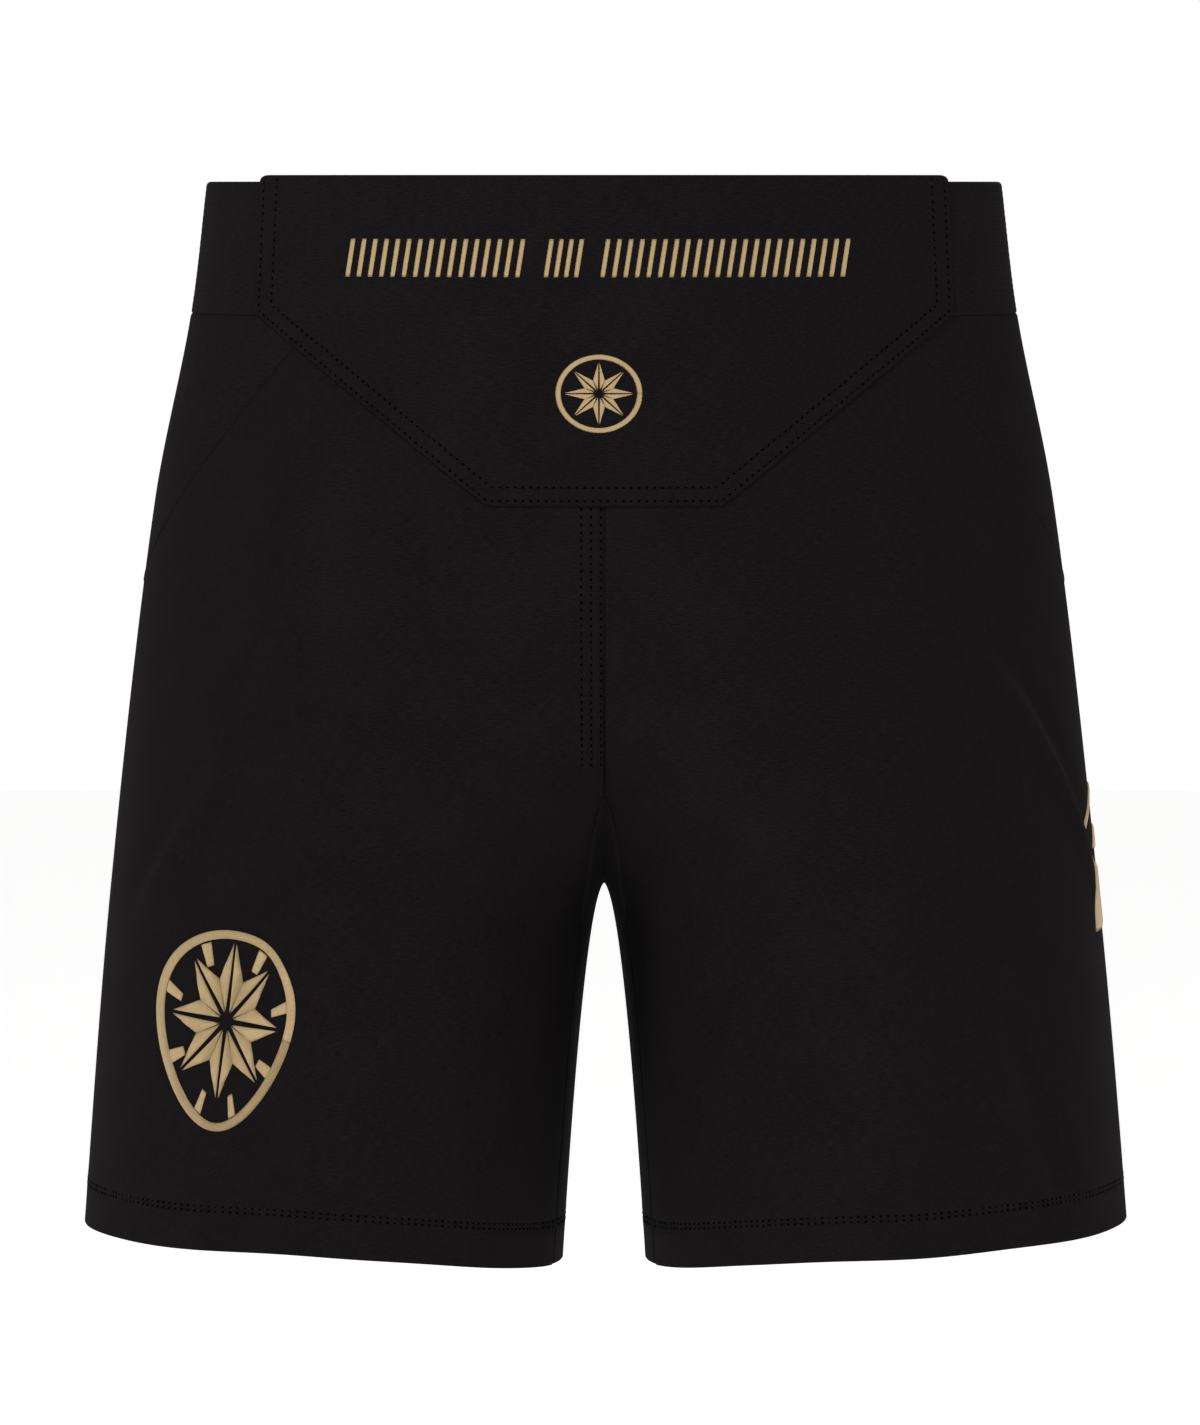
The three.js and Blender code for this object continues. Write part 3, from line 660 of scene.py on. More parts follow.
def gusset_angle(z):
    """The angle of the gusset's seam at a height."""
    x = np.maximum(0, (GUSSET_TOP - z) / MM) ** GUSSET_POWER * MM
    return angle_at(np.maximum(x, CENTRE_GAP / 2), z)


def inner_angle(z):
    return np.where(z > GUSSET_TOP, angle_at(CENTRE_GAP / 2, z), gusset_angle(z))


def leg_grid(side, front):
    """The middle surface of a leg panel, with the ways it faces.

    The inner edge's angle depends on the height and the hem's height on the angle, so the
    two are worked out in turn until they settle.
    """
    seat_columns = SEAT_COLUMNS if side < 0 and not front else ()
    tops = np.unique([*(90 * graded(WAIST_QUARTER, 84)), 90 - HIP_REACH, *seat_columns])
    rows = mix(PANEL_TOP, hem_z(INNER_ANGLE), graded(PANEL_LENGTH, 128, (), HEM_ROWS))
    share = ((rows - PANEL_TOP) / (rows[-1] - PANEL_TOP))[None]
    drop = hip_drop(tops)
    top_z = (PANEL_TOP - drop - np.where(drop > 0, SEAM_GAP, 0))[:, None]
    inner_top = inner_angle(top_z)
    along = np.clip((tops[:, None] - inner_top) / (90 - inner_top), 0, 1)
    z = mix(top_z, hem_z(0), share)
    for _ in range(SETTLING_ROUNDS):
        inner = inner_angle(z) + np.where(z < GUSSET_TOP, SEAM_ANGLE, 0)
        angle = mix(inner, 90 - SEAM_ANGLE, along)
        z = mix(top_z, np.where(along == 0, rows[-1], hem_z(angle)), share)
    return place(side, 180 - angle if front else angle, z, PANEL_MIDDLE)


hem_line = place(1, np.linspace(-90, 90, 90), -OUTSEAM, 0)[0]
print("hem girth of one leg, mm:", round(2 * distance_along(hem_line)[-1] / MM))

# %% [markdown]
# The seat seam is sewn down to one side with three rows of thread. Those rows lie on the left
# half only, because the seam allowances behind them are pressed that way.

# %% Leg and hip panels
def hem_fold(to_hem):
    """The turned-up hem inside a leg: extra thickness that ends in a small step."""
    return HEM_FACING_THICKNESS * smooth((HEM_TURN - to_hem) / HEM_STEP)


def leg_panel(name, side, front):
    """One leg panel with its rows of thread, its seams turned in and its hem turned up."""
    p, way = leg_grid(side, front)
    lines = [inset_line(p, 1, 1, d) for d in HEM_ROWS]
    if side < 0 and not front:
        drops = np.linspace(*SEAT_ROW_DROPS, 100)
        lines += [place_x("back", -x + 0 * drops, -drops, PANEL_MIDDLE)[0] for x in SEAT_ROWS]
    p = sew(p, way, lines, SHEET)
    p = turn_edges(p, [(0, 0), (0, 1)], way)
    p = turn_edges(p, [(1, 0)], way, -TOP_LIFT)
    piece = cloth_piece(name, sheet_parts(p, way, SHEET, hem_fold(edge_distance(p, 1, 1))), shell_cloth)
    return piece


def hip_panel(name, side):
    """The panel let in at the side, between the waistband and the curved hip seam."""
    ends = HIP_REACH - HIP_CLOSE
    angles = mix(90 - ends, 90 + ends, np.linspace(0, 1, 90))[:, None]
    z = mix(PANEL_TOP, PANEL_TOP - hip_drop(angles) + SEAM_GAP / 2, graded(HIP_DEPTH, 50)[None])
    p, way = place(side, angles, z, PANEL_MIDDLE)
    p = turn_edges(p, [(1, 0), (1, 1)], way, HIP_TURN)
    piece = cloth_piece(name, sheet_parts(p, way, SHEET), shell_cloth)
    return piece

# %% Panels on the body
def wear(piece, node, body="shorts"):
    """Puts a finished piece on its body, in place of its CAD node."""
    for name in node if isinstance(node, (list, tuple)) else [node]:
        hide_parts(name)
    if body:
        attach(piece, body)
    return piece


for word, side in (("right", 1), ("left", -1)):
    for face in ("back", "front"):
        node = f"{face}_panel_{word}"
        wear(leg_panel(f"{node}_cloth", side, face == "front"), node)
    wear(hip_panel(f"hip_panel_{word}_cloth", side), f"hip_panel_{word}")

# %% [markdown]
# ## The gusset
#
# One strip runs from hem to hem through the crotch. Its four edges are known: the two seams,
# the hems and the line over the crotch. The surface between them is a Coons patch, which
# blends opposite edges, so the strip meets the panels all along both seams.

# %% Gusset
GUSSET_WIDTH, GUSSET_HALF_LENGTH = 90 * MM, 190 * MM
OVER_POWER = 1.8                 # how the strip curves where it goes over the crotch


def gusset_grid():
    across = (2 * graded(GUSSET_WIDTH, 41) - 1)[:, None]
    down = graded(GUSSET_HALF_LENGTH, 80, (), HEM_ROWS)[None]
    low = hem_z(INNER_ANGLE)
    seam_z = mix(GUSSET_TOP, low, down)
    a, in_front = np.abs(across), across > 0

    def turned(angle, z):
        angle, z, front = np.broadcast_arrays(angle, z, in_front)
        return base(np.where(front, 180 - angle, angle), z)

    def over_crotch(reach):
        z = -CROTCH + GUSSET_RISE * reach**OVER_POWER
        p = turned(np.where(-z >= CROTCH, -90, angle_at(0, z)), z)
        return p * [0, 1, 1]

    hem_angle = gusset_angle(low) - SEAM_ANGLE
    hem = turned(mix(-90, hem_angle, a), mix(hem_z(-90), low, a))
    hem_end, hem_middle = turned(hem_angle + 0 * a, low), turned(-90 + 0 * a, hem_z(-90) + 0 * a)
    inner = turned(-90 + 0 * down, mix(-CROTCH, hem_z(-90), down))
    seam = turned(gusset_angle(seam_z) - SEAM_ANGLE, seam_z)
    a, d = a[..., None], down[..., None]
    p = over_crotch(np.abs(across)) * (1 - d) + hem * d + inner * (1 - a) + seam * a
    p -= over_crotch(0 * across) * (1 - a) * (1 - d) + hem_middle * (1 - a) * d
    p -= over_crotch(0 * across + 1) * a * (1 - d) + hem_end * a * d
    p[:, 0, 0] = 0
    return np.concatenate([(p * [-1, 1, 1])[:, :0:-1], p], axis=1)

# %% Gusset cloth
p = gusset_grid()
way = grid_normals(p)
across_middle, over_middle = p.shape[0] // 2, p.shape[1] // 2
way *= -np.sign(way[across_middle, over_middle, 2])
p = p + way * PANEL_MIDDLE
rows = [inset_line(p, 1, end, d) for end in (0, 1) for d in HEM_ROWS]
p = sew(p, way, rows, SHEET)
p = turn_edges(p, [(0, 0), (0, 1)], way)
to_hem = np.minimum(edge_distance(p, 1, 0), edge_distance(p, 1, 1))
gusset = cloth_piece("crotch_gusset_cloth", sheet_parts(p, way, SHEET, hem_fold(to_hem)), shell_cloth)
wear(gusset, "crotch_gusset")
print("gusset length through the crotch, mm:", round(edge_distance(p, 1, 0)[across_middle, -1] / MM))

# %% [markdown]
# ## Seam allowances
#
# Behind every seam the two edges are overlocked together and lie flat as a narrow strip.
# The strips show inside the waist and the legs, and they keep light from coming through the
# seams. Each is a thin sheet that follows its seam's curve just inside the panels.

# %% Seam allowances
ALLOWANCE, ALLOWANCE_MIDDLE, ALLOWANCE_SHEET = 5 * MM, -0.42 * MM, 0.7 * MM
STRIP_STOP = 2 * MM              # a strip ends this far above the hem
INNER_START, CENTRE_END = GUSSET_TOP + 6 * MM, GUSSET_TOP - 4 * MM     # they overlap a little
SIDE_RADIUS = 105 * MM           # turns an angle at the side into a distance


def allowance(side, angles, heights, across_angle):
    """A strip along a seam given by angle and height, spread round the body or up it."""
    t = np.linspace(-1, 1, 9)[:, None]
    if across_angle:
        degrees = np.degrees(ALLOWANCE / SIDE_RADIUS)
        p, way = place(side, angles[None] + degrees * t, heights[None] + 0 * t, ALLOWANCE_MIDDLE)
    else:
        p, way = place(side, angles[None] + 0 * t, heights[None] + ALLOWANCE * t, ALLOWANCE_MIDDLE)
    return sheet_parts(p, way, ALLOWANCE_SHEET)


strips, t = [], np.linspace(0, 1, 70)
for side in (-1, 1):
    hip = 90 + (HIP_REACH - 0.5) * (2 * t - 1)
    strips.append(allowance(side, hip, PANEL_TOP - hip_drop(hip), False))
    strips.append(allowance(side, 90 + 0 * t, mix(PANEL_TOP - HIP_DEPTH, hem_z(90) + STRIP_STOP, t), True))
    for front in (False, True):
        z = mix(INNER_START, hem_z(-60) + STRIP_STOP, t)
        inner = inner_angle(z)
        strips.append(allowance(side, 180 - inner if front else inner, z, True))
centre_z = mix(PANEL_TOP, CENTRE_END, t)[None]
for face in ("back", "front"):
    p, way = place_x(face, ALLOWANCE * np.linspace(-1, 1, 9)[:, None], centre_z, ALLOWANCE_MIDDLE)
    strips.append(sheet_parts(p, way, ALLOWANCE_SHEET))
allowances = cloth_piece("seam_allowances", strips, lining_cloth)
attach(allowances, "shorts")
print("seam strips:", len(strips))

# %% [markdown]
# ## The waistband
#
# The side waistbands hide a wide elastic. Rows of thread through the stretched elastic leave
# the cloth in fine level ribs when it springs back, with small gathers between the rows. The
# top edge is one fold of cloth: it rolls over the elastic and comes down inside as a facing.
# The ribs follow a rule, so they come from a wave on a fine grid.

# %% Waistband pieces
FACING_MIDDLE, SIDE_FACING_MIDDLE, FACING_ROW = -0.95 * MM, -2.7 * MM, 2.2 * MM
SIDE_START = 53.5                # degrees from the centre back to the side waistband
RIB_PITCH, RIB_DEPTH = 2.4 * MM, 0.05 * MM
RIB_SHARE, GATHER_SHARE = 0.75, 0.5
GATHERS, GATHER_GROUPS = (46, 1.9), (17, 2.3)    # waves round the body, and shift from row to row
FRONT_BAND_LENGTH = 127 * MM


def rolled(rows_z, top, outer, inner):
    """Heights and offsets of rows that come over a fold at the top and down the outside."""
    radius = (outer - inner) / 2
    turn = np.linspace(math.pi, 0, 9)[:-1]
    z = np.concatenate([top - radius + radius * np.sin(turn), top - radius - rows_z])
    off = np.concatenate([(outer + inner) / 2 + radius * np.cos(turn), outer + 0 * rows_z])
    return z[None], off[None]


def band_rows(inner, count):
    """Rows of a waistband that rolls over from an inner layer and comes down the outside."""
    reach = BAND - (PANEL_MIDDLE - inner) / 2
    return rolled(graded(reach, count)[1:] * reach, 0, PANEL_MIDDLE, inner)


def side_band(word, side):
    """A gathered side waistband, rolled over its elastic at the top."""
    angles = np.linspace(SIDE_START + SEAM_ANGLE, 180 - SIDE_START - SEAM_ANGLE, 130)[:, None]
    z, off = band_rows(SIDE_FACING_MIDDLE, 150)
    a, row = np.radians(angles), np.round(z / RIB_PITCH)
    ribs = np.sin(2 * math.pi * z / RIB_PITCH)
    fine, groups = (np.sin(count * a + shift * row) for count, shift in (GATHERS, GATHER_GROUPS))
    gathers = fine * (0.6 + 0.4 * groups) * np.cos(math.pi * z / RIB_PITCH) ** 2
    ends = smooth((BAND + z) / (4 * MM)) * smooth(-z / (3 * MM))
    off = off + RIB_DEPTH * ends * (RIB_SHARE * ribs + GATHER_SHARE * gathers)
    p, way = place(side, angles, z, off)
    p = turn_edges(p, [(1, 1)], way)
    piece = cloth_piece(f"side_waistband_{word}_cloth", sheet_parts(p, way, SHEET), band_cloth)
    return piece


def front_band(word, side):
    """A plain front waistband, rolled over at the top, with its ends turned in."""
    z, off = band_rows(FACING_MIDDLE, 50)
    start = 180 - SIDE_START + SEAM_ANGLE
    angles = mix(start, 180 - angle_at(CENTRE_GAP / 2, z), graded(FRONT_BAND_LENGTH, 60)[:, None])
    p, way = place(side, angles, z, off)
    p = turn_edges(p, [(1, 1), (0, 0)], way)
    piece = cloth_piece(f"front_waistband_{word}_cloth", sheet_parts(p, way, SHEET), band_cloth)
    return piece


def facing(name, side, angles, middle, top):
    """A waistband facing: the same cloth's inner side, from the fold down to the seam."""
    z = mix(top, -BAND, np.linspace(0, 1, 40))[None]
    p, way = place(side, angles[:, None], z, middle) if side else place_back(angles[:, None], z, middle)
    p = press(p, way, [inset_line(p, 1, 1, FACING_ROW)])
    piece = cloth_piece(name, sheet_parts(p, way, SHEET), lining_cloth)
    return piece


def place_back(angle, z, off):
    """Signed angles round the centre back, for a band that crosses it."""
    x = base(np.abs(angle), z)[..., 0] * np.sign(angle)
    return place_x("back", x, z, off)

# %% Waistband on the body
for word, side in (("right", 1), ("left", -1)):
    wear(side_band(word, side), f"side_waistband_{word}")
    wear(front_band(word, side), f"front_waistband_{word}")
    reach = np.linspace(SIDE_START + SEAM_ANGLE, 180 - SIDE_START - SEAM_ANGLE, 70)
    node = f"side_waistband_facing_{word}"
    wear(facing(f"{node}_cloth", side, reach, SIDE_FACING_MIDDLE, -1.8 * MM), node)
    reach = np.linspace(180 - SIDE_START + SEAM_ANGLE, 179.9, 60)
    node = f"front_waistband_facing_{word}"
    wear(facing(f"{node}_cloth", side, reach, FACING_MIDDLE, -0.9 * MM), node)
reach = np.linspace(-SIDE_START + SEAM_ANGLE, SIDE_START - SEAM_ANGLE, 121)
wear(facing("back_waistband_facing_cloth", 0, reach, FACING_MIDDLE, 0.8 * MM),
     "back_waistband_facing")

# %% [markdown]
# ## The back yoke
#
# The yoke is one panel laid over the back of the waistband and the seat, wide at the top and
# narrow below, with its edges folded under. It is sewn down with two rows of thread along
# its sides, its diagonals and its lower edge. Its top stands a little above the side bands,
# with rounded corners, and rolls over to the inside.

# %% Yoke outline
YOKE_RISE, YOKE_DROP = 2.3 * MM, 121 * MM
YOKE_TOP, YOKE_CORNER, YOKE_BOTTOM = 130.2 * MM, 132.3 * MM, 44.4 * MM
CORNER_DROP = 50 * MM
YOKE_MIDDLE, YOKE_SHEET = 1.35 * MM, 0.7 * MM
YOKE_ROWS = (1.6 * MM, 6.6 * MM)
TOP_ROUNDING, CORNER_ROUNDING, ROW_START = 2.6 * MM, 1.6 * MM, 1.5 * MM
DIAGONAL_STRETCH = 1.27          # a diagonal row's inset, measured straight up
HEM_FINISH = np.array([3.6, 4.6, 10]) * MM       # the last rows before the yoke's even part
YOKE_TURN, YOKE_PRESS = 0.12 * MM, 0.34 * MM


def yoke_half_width(z):
    """Half the yoke's width at a height above its lower corners, rounded at the top."""
    width = mix(YOKE_TOP, YOKE_CORNER, np.clip((YOKE_RISE - z) / (YOKE_RISE + CORNER_DROP), 0, 1))
    near = np.clip(1 - (YOKE_RISE - z) / TOP_ROUNDING, 0, 1)
    return width - TOP_ROUNDING * (1 - np.sqrt(1 - near**2))


def yoke_bottom(x):
    """The yoke's lower edge: level in the middle, then up the two diagonals."""
    past = np.abs(x) - YOKE_BOTTOM
    past = (past + np.hypot(past, CORNER_ROUNDING)) / 2
    return -YOKE_DROP + past * (YOKE_DROP - CORNER_DROP) / (YOKE_CORNER - YOKE_BOTTOM)


def yoke_row(inset):
    """A line that follows the yoke's sides, diagonals and lower edge at an inset."""
    slope = math.atan2(YOKE_DROP - CORNER_DROP, YOKE_CORNER - YOKE_BOTTOM)
    side_x = YOKE_CORNER - inset
    low_x = YOKE_BOTTOM - inset * math.tan(slope / 2)
    corner_z = -CORNER_DROP + inset * math.tan((math.pi / 2 - slope) / 2)
    right = [(YOKE_TOP - inset, YOKE_RISE - ROW_START), (side_x, corner_z),
             (low_x, -YOKE_DROP + inset)]
    path = right + [(-x, z) for x, z in reversed(right)]
    path = evenly(np.array([(x, 0, z) for x, z in path]))
    return place_x("back", path[:, 0], path[:, 2], YOKE_MIDDLE)[0]


print("the yoke ends below the waist by, mm:", round(-yoke_bottom(0) / MM))

# %% Yoke cloth
share = graded(2 * YOKE_CORNER, 180, YOKE_ROWS, YOKE_ROWS) * 2 - 1
corner = YOKE_BOTTOM / YOKE_CORNER
share = np.unique([*share, -corner, corner])[:, None]
fold_z, fold_off = rolled(np.array([0.0]), YOKE_RISE, YOKE_MIDDLE, FACING_MIDDLE)
fold_z, fold_off = fold_z[:, :-1], fold_off[:, :-1]
start = YOKE_RISE - (YOKE_MIDDLE - FACING_MIDDLE) / 2
bottom = yoke_bottom(share * YOKE_CORNER)
row_steps = [d * slant + LINE_STEPS for d in YOKE_ROWS for slant in (1, DIAGONAL_STRETCH)]
hem_steps = np.unique(np.concatenate([EDGE_STEPS[:4], *row_steps, HEM_FINISH]))
hem_steps = hem_steps[np.append(True, np.diff(hem_steps) > CLOSEST)]
down = np.linspace(0, 1, 90)[None, :-1]
flat_z = np.concatenate([mix(start, bottom + hem_steps[-1], down), bottom + hem_steps[None, ::-1]], axis=1)
z = np.concatenate([fold_z + 0 * share, flat_z], axis=1)
off = np.concatenate([fold_off + 0 * share, YOKE_MIDDLE + 0 * flat_z], axis=1)
p, way = place_x("back", share * yoke_half_width(z), z, off)
p = sew(p, way, [yoke_row(d) for d in YOKE_ROWS], YOKE_SHEET, depth=YOKE_PRESS)
p = turn_edges(p, [(0, 0), (0, 1), (1, 1)], way, YOKE_TURN)
yoke = cloth_piece("back_yoke_cloth", sheet_parts(p, way, YOKE_SHEET), shell_cloth)
wear(yoke, "back_yoke")
print("yoke width, mm:", round(edge_distance(p, 0, 0)[-1, 20] / MM))

# %% [markdown]
# ## The fly: shield, tapes and flap
#
# The front closes left over right with a flap. Its sewn edge is a stitched margin on the
# left half, and its free end carries hook tape that presses on loop tape on the right half.
# The margin and the flap are one piece of cloth on the real shorts, so they are one sheet
# here too.

# %% Fly cloth
HINGE_X, FREE_X, MARGIN = -58 * MM, 62 * MM, 11 * MM
FLAP_DROP, FLAP_INSET, CHAMFER = 112 * MM, 0.6 * MM, 38 * MM
FLAP_LIFT = 2.25 * MM
FLAP_OUTER_MIDDLE, MARGIN_MIDDLE, FLAP_FACING_MIDDLE = 2.6 * MM, 1.75 * MM, 1.65 * MM
FLAP_ROWS, MARGIN_ROWS = (2.2 * MM, 7.2 * MM), (5.6 * MM, 9 * MM)
MARGIN_TURN, FLAP_ROUNDING = 0.6 * MM, 3 * MM
LIFT_START, LIFT_REACH = 6 * MM, 38 * MM
FACING_INSET, FACING_SHEET = 0.7 * MM, 0.45 * MM
fold_at = place_x("front", HINGE_X, -FLAP_DROP / 2, 0)[0]
BEND_START = tuple(fold_at + [-4.5 * MM, 0, 0])
BEND_END = tuple(fold_at + [4.0 * MM, 0, 0])


def flap_lift(x):
    """The flap rises off the margin's level to clear the tapes under it."""
    return FLAP_LIFT * smooth((x - HINGE_X - LIFT_START) / LIFT_REACH)


def flap_bottom(x):
    """The flap's lower edge, which turns up along the chamfer at its free end."""
    past = x - (FREE_X - CHAMFER)
    return -FLAP_DROP + (past + np.hypot(past, FLAP_ROUNDING)) / 2


def flap_grid(low_x, middle, inset=0.0):
    x = mix(low_x, FREE_X - inset, graded(FREE_X - low_x, 90, (), FLAP_ROWS))[:, None]
    z = mix(-FLAP_INSET - inset, flap_bottom(x) + inset, graded(FLAP_DROP, 80, FLAP_ROWS, FLAP_ROWS)[None])
    seated = middle + np.where(x < HINGE_X, MARGIN_MIDDLE - middle, 0) * smooth((HINGE_X - x) / (3 * MM))
    return place_x("front", x, z, seated + flap_lift(x))


def flap_edge_row(inset):
    """Thread along the flap's lower edge, chamfer, free edge and top, clear of the bend."""
    low, high, bevel = HINGE_X + LIFT_START, FREE_X - inset, CHAMFER + 0.4 * inset
    top, bottom = -FLAP_INSET - inset, -FLAP_DROP + inset
    path = [(low, bottom), (FREE_X - bevel, bottom), (high, -FLAP_DROP + bevel), (high, top), (low, top)]
    path = evenly(np.array([(x, 0, z) for x, z in path]))
    off = FLAP_OUTER_MIDDLE + flap_lift(path[:, 0])
    return place_x("front", path[:, 0], path[:, 2], off)[0]

# %% Flap and its facing
p, way = flap_grid(HINGE_X - MARGIN, FLAP_OUTER_MIDDLE)
p = sew(p, way, [flap_edge_row(d) for d in FLAP_ROWS], SHEET, "flap")
drops = np.linspace(3 * MM, FLAP_DROP - 2 * MM, 110)
rows = [place_x("front", HINGE_X - x + 0 * drops, -drops, MARGIN_MIDDLE)[0] for x in MARGIN_ROWS]
p = sew(p, way, rows, SHEET)
p = turn_edges(p, [(0, 0)], way, MARGIN_TURN)
flap = cloth_piece("fly_flap_cloth", sheet_parts(p, way, SHEET), shell_cloth)
wear(flap, ["fly_flap", "fly_flap_sewn_margin"], None)
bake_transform(flap)

p, way = flap_grid(HINGE_X + 0.4 * MM, FLAP_FACING_MIDDLE, FACING_INSET)
lining = cloth_piece("fly_flap_facing_cloth", sheet_parts(p, way, FACING_SHEET), lining_cloth)
wear(lining, "fly_flap_facing", None)
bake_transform(lining)
print("flap bends between x =", round(BEND_START[0] / MM, 1), "and", round(BEND_END[0] / MM, 1), "mm")

# %% Shield and tapes
SHIELD_HALF_WIDTH, SHIELD_DROP = 32 * MM, 126 * MM
x = SHIELD_HALF_WIDTH * np.linspace(-1, 1, 60)[:, None]
p, way = place_x("front", x, mix(PANEL_TOP, -SHIELD_DROP, np.linspace(0, 1, 70)[None]), FACING_MIDDLE)
shield = cloth_piece("fly_shield_cloth", sheet_parts(p, way, SHEET), lining_cloth)
wear(shield, "fly_shield")

TAPES = {"waist": ((8, 54), (7, 44)), "fly": ((6, 30), (56, 100))}     # across and drops, in mm
LOOP_MIDDLE, HOOK_MIDDLE, TAPE_SHEET = 1.55 * MM, 2.85 * MM, 0.4 * MM
LABEL_MIDDLE, LABEL_SHEET = -2.1 * MM, 0.35 * MM


def tape_grid(xs, drops, middle, pitch):
    across = max(2, round((xs[1] - xs[0]) / pitch))
    down = max(2, round((drops[1] - drops[0]) / pitch))
    x = np.linspace(xs[0], xs[1], across + 1)[:, None] * MM
    return place_x("front", x, -np.linspace(drops[0], drops[1], down + 1)[None] * MM, middle)


def press_round(p, way, inset, depth, pucker):
    """Presses one row of thread into a small piece, all the way round."""
    rows = [inset_line(p, axis, end, inset) for axis in (0, 1) for end in (0, 1)]
    return press(p, way, rows, depth, pucker=pucker)


for word, (xs, drops) in TAPES.items():
    for kind, middle, finish, body in (("loop", LOOP_MIDDLE, loop_tape, "shorts"),
                                       ("hook", HOOK_MIDDLE, hook_black, "flap")):
        p, way = tape_grid(xs, drops, middle, 0.9)
        p = press_round(p, way, 1.6 * MM, 0.12 * MM, 0.02 * MM)
        tape = cloth_piece(f"{word}_{kind}_tape_cloth", sheet_parts(p, way, TAPE_SHEET), finish)
        wear(tape, f"{word}_{kind}_tape", body)

x, drop = np.linspace(-22, 22, 40)[:, None] * MM, np.linspace(12, 40, 30)[None] * MM
p, way = place_x("back", x, -drop, LABEL_MIDDLE)
p = press_round(p, way, 1.5 * MM, 0.1 * MM, 0.03 * MM)
label = cloth_piece("waist_label_cloth", sheet_parts(p, way, LABEL_SHEET), label_cloth)
wear(label, "waist_label")
print("fly and label pieces made")

# %% [markdown]
# ## Gold marks
#
# The marks are made-up shapes: rows of slanted bars, a ring with a star in it, and on the
# legs an egg-shaped medal in raised satin stitch. A print is a film only a tenth of a
# millimetre thick, so it is a sheet just above the cloth. Raised stitching is a sheet whose
# middle swells, as thread does over its padding.

# %% Marks
PRINT, RAISED = 0.12 * MM, 0.2 * MM              # a film's thickness, and a raised stitching's


def ribbon(path, width, steps_across=5):
    """Grid of flat (u, v) points round a closed or open path, with a width."""
    path = np.asarray(path, float)
    along = unit(np.gradient(path, axis=0))
    side = np.stack([along[:, 1], -along[:, 0]], -1)
    t = np.linspace(-0.5, 0.5, steps_across)[:, None, None]
    return path[None] + side[None] * width * t


def corner_patch(corners, across=9, along=9):
    """Grid of flat points between four corners given in order."""
    a, b, c, d = (np.asarray(k, float) for k in corners)
    u, v = np.linspace(0, 1, across)[:, None, None], np.linspace(0, 1, along)[None, :, None]
    return (a * (1 - u) + b * u) * (1 - v) + (d * (1 - u) + c * u) * v


ACROSS_POWER, ALONG_POWER = 2.6, 8               # a low power is round, a high one is level
CLOSED_WITHIN = 0.2 * MM         # a ring's two ends lie this near each other


def swell(grid, height):
    """Height of raised stitching over a patch: round across, nearly level along."""
    m, n = grid.shape[:2]
    u = np.abs(np.linspace(-1, 1, m))[:, None]
    closed = np.allclose(grid[:, 0], grid[:, -1], atol=CLOSED_WITHIN)
    v = np.abs(np.linspace(-1, 1, n))[None] * (not closed)
    return height * np.sqrt(1 - u**ACROSS_POWER) * np.sqrt(1 - v**ALONG_POWER)


def marks(patches, settle, level, height=0.0, thickness=PRINT):
    """Lays flat patches on the cloth by a settling function from (u, v) to a surface."""
    parts = []
    for grid in patches:
        rise = swell(grid, height) if height else np.zeros(grid.shape[:2])
        p, way = settle(grid[..., 0], grid[..., 1], level + thickness / 2 + rise)
        parts.append(sheet_parts(p, way, thickness, rise if height else None))
    return parts


# %% Bars on the yoke
YOKE_SURFACE = YOKE_MIDDLE + YOKE_SHEET / 2 + 0.04 * MM
BAR_GROUPS = ((-96, -30.5, 16), (-21.5, -8.6, 4), (-0.4, 91.2, 22))    # first and last mm, count
BAR_WIDTH, BAR_HEIGHT, BAR_DROP, BAR_SLANT = 1.65 * MM, 14.2 * MM, 28.7 * MM, 2.2 * MM


def on_back(x, z, off):
    return place_x("back", x, z, off)


bars, lean = [], BAR_SLANT / 2
low, high = -BAR_DROP - BAR_HEIGHT / 2, -BAR_DROP + BAR_HEIGHT / 2
for first, last, count in BAR_GROUPS:
    for x in np.linspace(first * MM, last * MM - BAR_WIDTH, count):
        bars.append(corner_patch([(x - lean, low), (x + BAR_WIDTH - lean, low),
                                  (x + BAR_WIDTH + lean, high), (x + lean, high)], 5, 11))
bar_print = cloth_piece("yoke_bar_print_film", marks(bars, on_back, YOKE_SURFACE), print_gold)
wear(bar_print, "yoke_bar_print")
print("bars:", len(bars))

# %% Ring and star on the yoke
EMBLEM_X, EMBLEM_DROP, EMBLEM_RADIUS = -2 * MM, 79.5 * MM, 16.2 * MM
EMBLEM_SQUASH, RING_WIDTH = 0.9, 1.9 * MM
STAR_POINTS = 8


def arc(start, end, radius, count):
    """Flat points round a circle between two angles in degrees."""
    a = np.radians(np.linspace(start, end, count))
    return np.stack([np.cos(a), np.sin(a)], -1) * radius


def direction(a):
    return np.array([math.cos(a), math.sin(a)])


def star_facets(outer, inner, gap):
    """Kite-shaped halves of a star's points, parted by thin gaps."""
    facets = []
    for k in range(STAR_POINTS):
        tip = 2 * math.pi * k / STAR_POINTS + math.pi / 2
        for hand in (-1, 1):
            shift = direction(tip + hand * math.pi / 2) * gap
            end, low = direction(tip), direction(tip + hand * math.pi / STAR_POINTS)
            waist = mix(end * outer, low * inner, 0.5) + shift * 0.2
            corners = [end * outer * 0.12 + shift, end * outer + shift * 0.6, waist, low * inner]
            facets.append(np.array(corners))
    return facets


def on_yoke_emblem(u, v, off):
    return on_back(u + EMBLEM_X, EMBLEM_SQUASH * v - EMBLEM_DROP, off)


